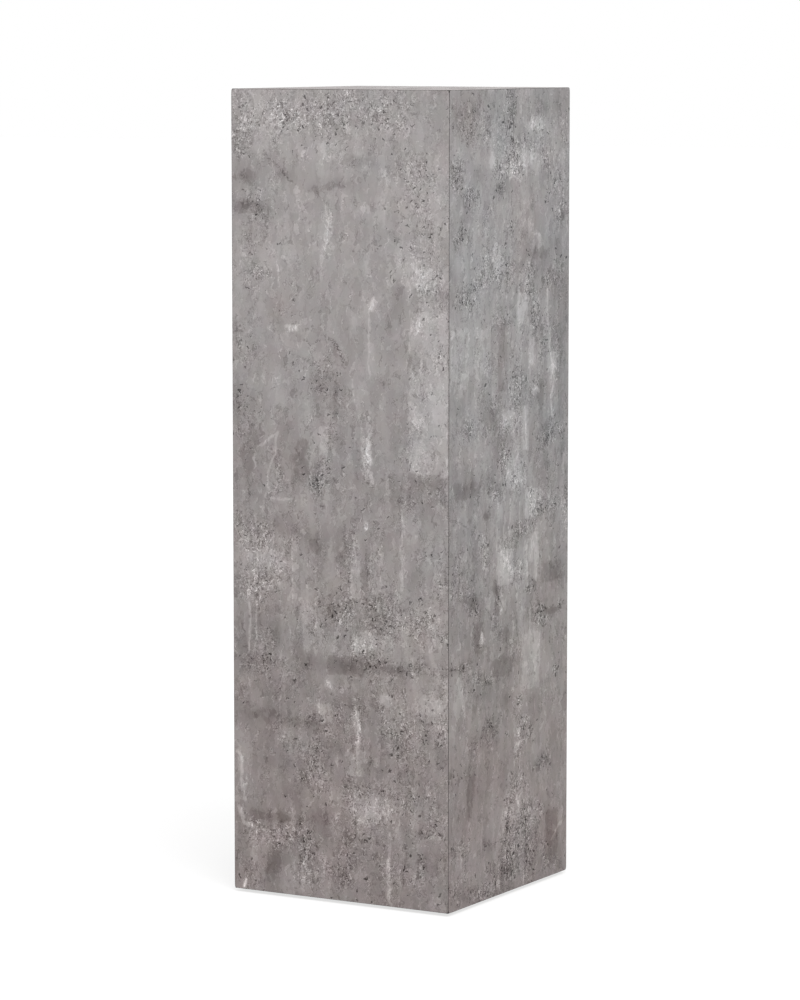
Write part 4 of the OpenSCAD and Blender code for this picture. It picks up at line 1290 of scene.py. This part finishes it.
def zincSteel(look):
    material, web, shader = newMaterial("zincSteel", Metallic=1.0)
    at = web.place()
    spangle = web.parts(web.cells(at, 0.9, seed=3).output("Color"))[0]
    bloom = web.noise(at, 2.4, 4, 0.65, seed=7).step(0.48, 0.7)
    turned = web.noise(at, 0.25, 2, 0.6, (1, 1, 6), 11)
    colour = web.layered(look, "bright", (bloom * 0.7 + spangle * 0.2, "dull"))
    bump = web.bump(0.15, 0.04 * mm, turned + bloom * 0.5)
    roughness = bloom * 0.18 + (spangle - 0.5) * 0.08 + look["roughness"]
    feed(web, shader, Base_Color=colour, Roughness=roughness, Normal=bump)
    return material


glideLook = {
    "face": (37, 37, 38),
    "scuffed": (104, 102, 98),
    "dull": (58, 57, 56),
    "scuffBelow": 0.7,       # millimetres over the floor
    "roughness": 0.5,
}


def glidePlastic(look):
    material, web, shader = newMaterial("glidePlastic", Specular_IOR_Level=0.45)
    at = web.place()
    up = web.parts(at)[2]
    sparks = web.noise(at, 0.45, 2, 0.6, seed=3)
    clouds = web.noise(at, 7, 4, 0.6, seed=5)
    scratches = web.noise(at, 1.6, 4, 0.7, (9, 1, 1), 9).step(0.55, 0.66)
    worn = up.step(look["scuffBelow"], look["scuffBelow"] * 0.3)
    worn = worn * (scratches * 0.6 + clouds.step(0.4, 0.7) * 0.4)
    colour = web.layered(look, "face", (worn, "scuffed"), (clouds.step(0.5, 0.75) * 0.25, "dull"))
    roughness = worn * 0.25 + sparks * 0.15 + look["roughness"]
    bump = web.bump(0.35, 0.05 * mm, sparks + worn)
    feed(web, shader, Base_Color=colour, Roughness=roughness, Normal=bump)
    return material


# One material for each slot, or three where the grain has to follow the piece's longest side
slotMaterials = {
    "concrete_laminate": [concrete],
    "fibreboard": [fibreboard(fibreboardLook)],
    "softwood": [softwood(softwoodLook, axis) for axis in range(3)],
    "beech": [beech(beechLook)],
    "zinc_steel": [zincSteel(zincLook)],
    "glide_plastic": [glidePlastic(glideLook)],
}
for subpart in frame["record"]["subparts"]:
    size = nodeSize(subpart["node"])
    choices = slotMaterials[subpart["material_slot"]]
    materials = frame["nodes"][subpart["node"]].data.materials
    for index in range(len(materials)):
        materials[index] = choices[size.index(max(size)) % len(choices)]


# Countersunk cross-head screws, in place of the plain ones of the frame
screwShape = {
    "segments": 28,
    "shank": 0.52,           # shank diameter as a share of the head's
    "root": 0.74,            # thread root as a share of the shank
    "rim": 0.4 * mm,
    "dome": 0.12,            # how far the head's edge is eased, as a share of its radius
    "plain": 0.25,           # share of the length with no thread
    "turns": 9,
    "thread": (0.35, 0.3, 0.35),    # rise, crest and fall as shares of the pitch
    "point": (1.4, 0.03),    # the point's length and its width at the end, as shares of the shank
    "recess": 0.56,          # recess across, as a share of the head
    "bladeWidth": 0.24,      # as a share of the recess
    "weld": 0.005 * mm,
    "apart": 9 * mm,         # less than from one screw to the next
    "sharpFrom": 35,         # degrees
}


def buildScrewTree(material, shape):
    inputs = {"Head": "Float", "Length": "Float", "Seed": "Int"}
    web, points, size = newGeometryTree("crossHeadScrew", inputs)
    head = size["Head"] / 2
    shank = head * shape["shank"]
    settings = {"fill_type": "NGON"}
    sockets = {0: shape["segments"], 1: head * (1 - shape["dome"])}
    face = web.node("GeometryNodeMeshCircle", settings, sockets)
    cap = web.node("GeometryNodeFlipFaces", None, {0: face})
    threaded = size["Length"] * (1 - shape["plain"]) - shank * 2
    pitch = threaded / shape["turns"]

    # From the head down: how far each step goes, and how much wider or narrower it ends
    steps = [
        (head * shape["dome"] * 0.6, 1 / (1 - shape["dome"])),
        (shape["rim"], 1.0),
        (head - shank, shape["shank"]),
        (size["Length"] * shape["plain"] - head + shank, 1.0),
        (shank * 0.2, shape["root"]),
    ]
    for _ in range(shape["turns"]):
        for share, ratio in zip(shape["thread"], (1.0, 1 / shape["root"], shape["root"])):
            steps.append((pitch * share, ratio))
    steps.append((shank * shape["point"][0], shape["point"][1]))
    grown, top = face, None
    for rise, ratio in steps:
        sockets = {0: grown, "Offset": web.combine(0.0, 0.0, rise), "Individual": False}
        if top is not None:
            sockets["Selection"] = top
        grown = web.node("GeometryNodeExtrudeMesh", {"mode": "FACES"}, sockets)
        top = grown.output("Top")
        sockets = {0: grown, "Selection": top, "Scale": ratio}
        grown = web.node("GeometryNodeScaleElements", {"domain": "FACE"}, sockets)
    whole = web.node("GeometryNodeJoinGeometry", None, {0: [grown, cap]})
    whole = web.node("GeometryNodeMergeByDistance", None, {0: whole, "Distance": shape["weld"]})
    wide = head * 2 * shape["recess"]
    blade = web.node("GeometryNodeMeshCube", None, {0: web.combine(wide, wide * shape["bladeWidth"], wide)})
    blades = [web.node("GeometryNodeTransform", None, {0: blade, "Rotation": (0.0, 0.0, turned)})
              for turned in (0.0, math.pi / 2)]
    settings = {"operation": "DIFFERENCE", "solver": "EXACT"}
    screw = web.node("GeometryNodeMeshBoolean", settings, {0: whole, 1: blades})
    spin = web.node("FunctionNodeRandomValue", {"data_type": "FLOAT_VECTOR"}, {
        0: (0.0, 0.0, 0.0), 1: (0.0, 0.0, 2 * math.pi), "Seed": size["Seed"]})
    placed = web.node("GeometryNodeInstanceOnPoints", None, {0: points, "Instance": screw, "Rotation": spin})
    endTree(web, placed, material)
    return web.tree


# Middle and width of each separate solid of a node, seen from above
def solidSpots(node, apart):
    groups = []
    for vertex in frame["nodes"][node].data.vertices:
        near = next((group for group in groups if (group[0] - vertex.co.xy).length < apart), None)
        if near:
            near.append(vertex.co.xy)
        else:
            groups.append([vertex.co.xy.copy()])
    spots = []
    for group in groups:
        across = [place.x for place in group]
        along = [place.y for place in group]
        middle = ((min(across) + max(across)) / 2, (min(along) + max(along)) / 2)
        spots.append((*middle, max(across) - min(across)))
    return spots


screwTree = buildScrewTree(slotMaterials["zinc_steel"][0], screwShape)
for number, node in enumerate(("base_screws", "glide_screws")):
    low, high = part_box(node)
    spots = solidSpots(node, screwShape["apart"])
    sizes = {"Head": spots[0][2], "Length": high.z - low.z, "Seed": 5 + number}
    mesh = grow(node + "_zinc", screwTree, sizes, [(x, y, low.z) for x, y, _ in spots])
    mesh.set_sharp_from_angle(angle=math.radians(screwShape["sharpFrom"]))
    addPiece(node + "_zinc", mesh, "zinc_steel", node)
    print(node, len(spots), "screws,", len(mesh.polygons), "faces")


studio = {
    "film": 36,                          # millimetres along the picture's height
    "lens": 4.0764,                      # focal length, counted in film heights
    "cameraAt": (2.5181, -4.3461, 1.0552),
    "turn": 30.121,
    "dip": 6.5164,
    "worldLevel": 0.76,
    "keyLevel": 0.62,                    # light on a surface that faces the key
    "keySpread": 34,                     # degrees
    "keyAt": (0.335, -0.372, 0.866),
    "floorSize": 60.0,
    "floorBounce": 0.5,
    "floorSeen": 0.97,                   # the floor's own white as the camera sees it
    "floorGlow": 0.7,                    # share of plain white that the camera sees in the floor
}


def grey(value):
    return (value, value, value, 1)


def buildStudio(look):
    scene = bpy.context.scene
    camera = bpy.data.cameras.new("camera")
    camera.lens = look["lens"] * look["film"]
    camera.sensor_width = look["film"]
    camera.clip_end = 200
    holder = bpy.data.objects.new("camera", camera)
    holder.location = look["cameraAt"]
    holder.rotation_euler = (math.radians(90 - look["dip"]), 0, math.radians(look["turn"]))
    scene.collection.objects.link(holder)
    scene.camera = holder

    lamp = bpy.data.lights.new("key", "SUN")
    lamp.angle = math.radians(look["keySpread"])
    lamp.energy = look["keyLevel"] * math.pi
    key = bpy.data.objects.new("key", lamp)
    key.location = Vector(look["keyAt"]) * 6
    key.rotation_euler = Vector(look["keyAt"]).to_track_quat("Z", "Y").to_euler()
    scene.collection.objects.link(key)

    world = bpy.data.worlds.new("studio")
    world.use_nodes = True
    scene.world = world
    web = Web(world.node_tree)
    background = world.node_tree.nodes["Background"]
    path = web.node("ShaderNodeLightPath")
    seen = path.output("Is Camera Ray").atLeast(path.output("Is Glossy Ray"))
    strength = web.mix(seen.atLeast(path.output("Is Transmission Ray")), look["worldLevel"], 1.0)
    world.node_tree.links.new(strength.socket, background.inputs["Strength"])
    background.inputs["Color"].default_value = grey(1)

    material, web, shader = newMaterial("floor", Roughness=0.9, Specular_IOR_Level=0.0)
    seen = web.node("ShaderNodeLightPath").output("Is Camera Ray")
    feed(web, shader, Base_Color=web.mixColour(seen, grey(look["floorBounce"]), grey(look["floorSeen"])))
    glow = web.node("ShaderNodeEmission", None, {"Color": grey(1), "Strength": 1.0})
    both = web.node("ShaderNodeMixShader", None, {
        0: seen * look["floorGlow"], 1: Value(web, shader.outputs[0]), 2: glow})
    web.tree.links.new(both.socket, web.tree.nodes["Material Output"].inputs["Surface"])
    half = look["floorSize"] / 2
    corners = [(-half, -half, 0), (half, -half, 0), (half, half, 0), (-half, half, 0)]
    mesh = bpy.data.meshes.new("floor")
    mesh.from_pydata(corners, [], [(0, 1, 2, 3)])
    mesh.materials.append(material)
    floor = bpy.data.objects.new("floor", mesh)
    scene.collection.objects.link(floor)


buildStudio(studio)
bpy.context.scene.view_settings.view_transform = "Standard"
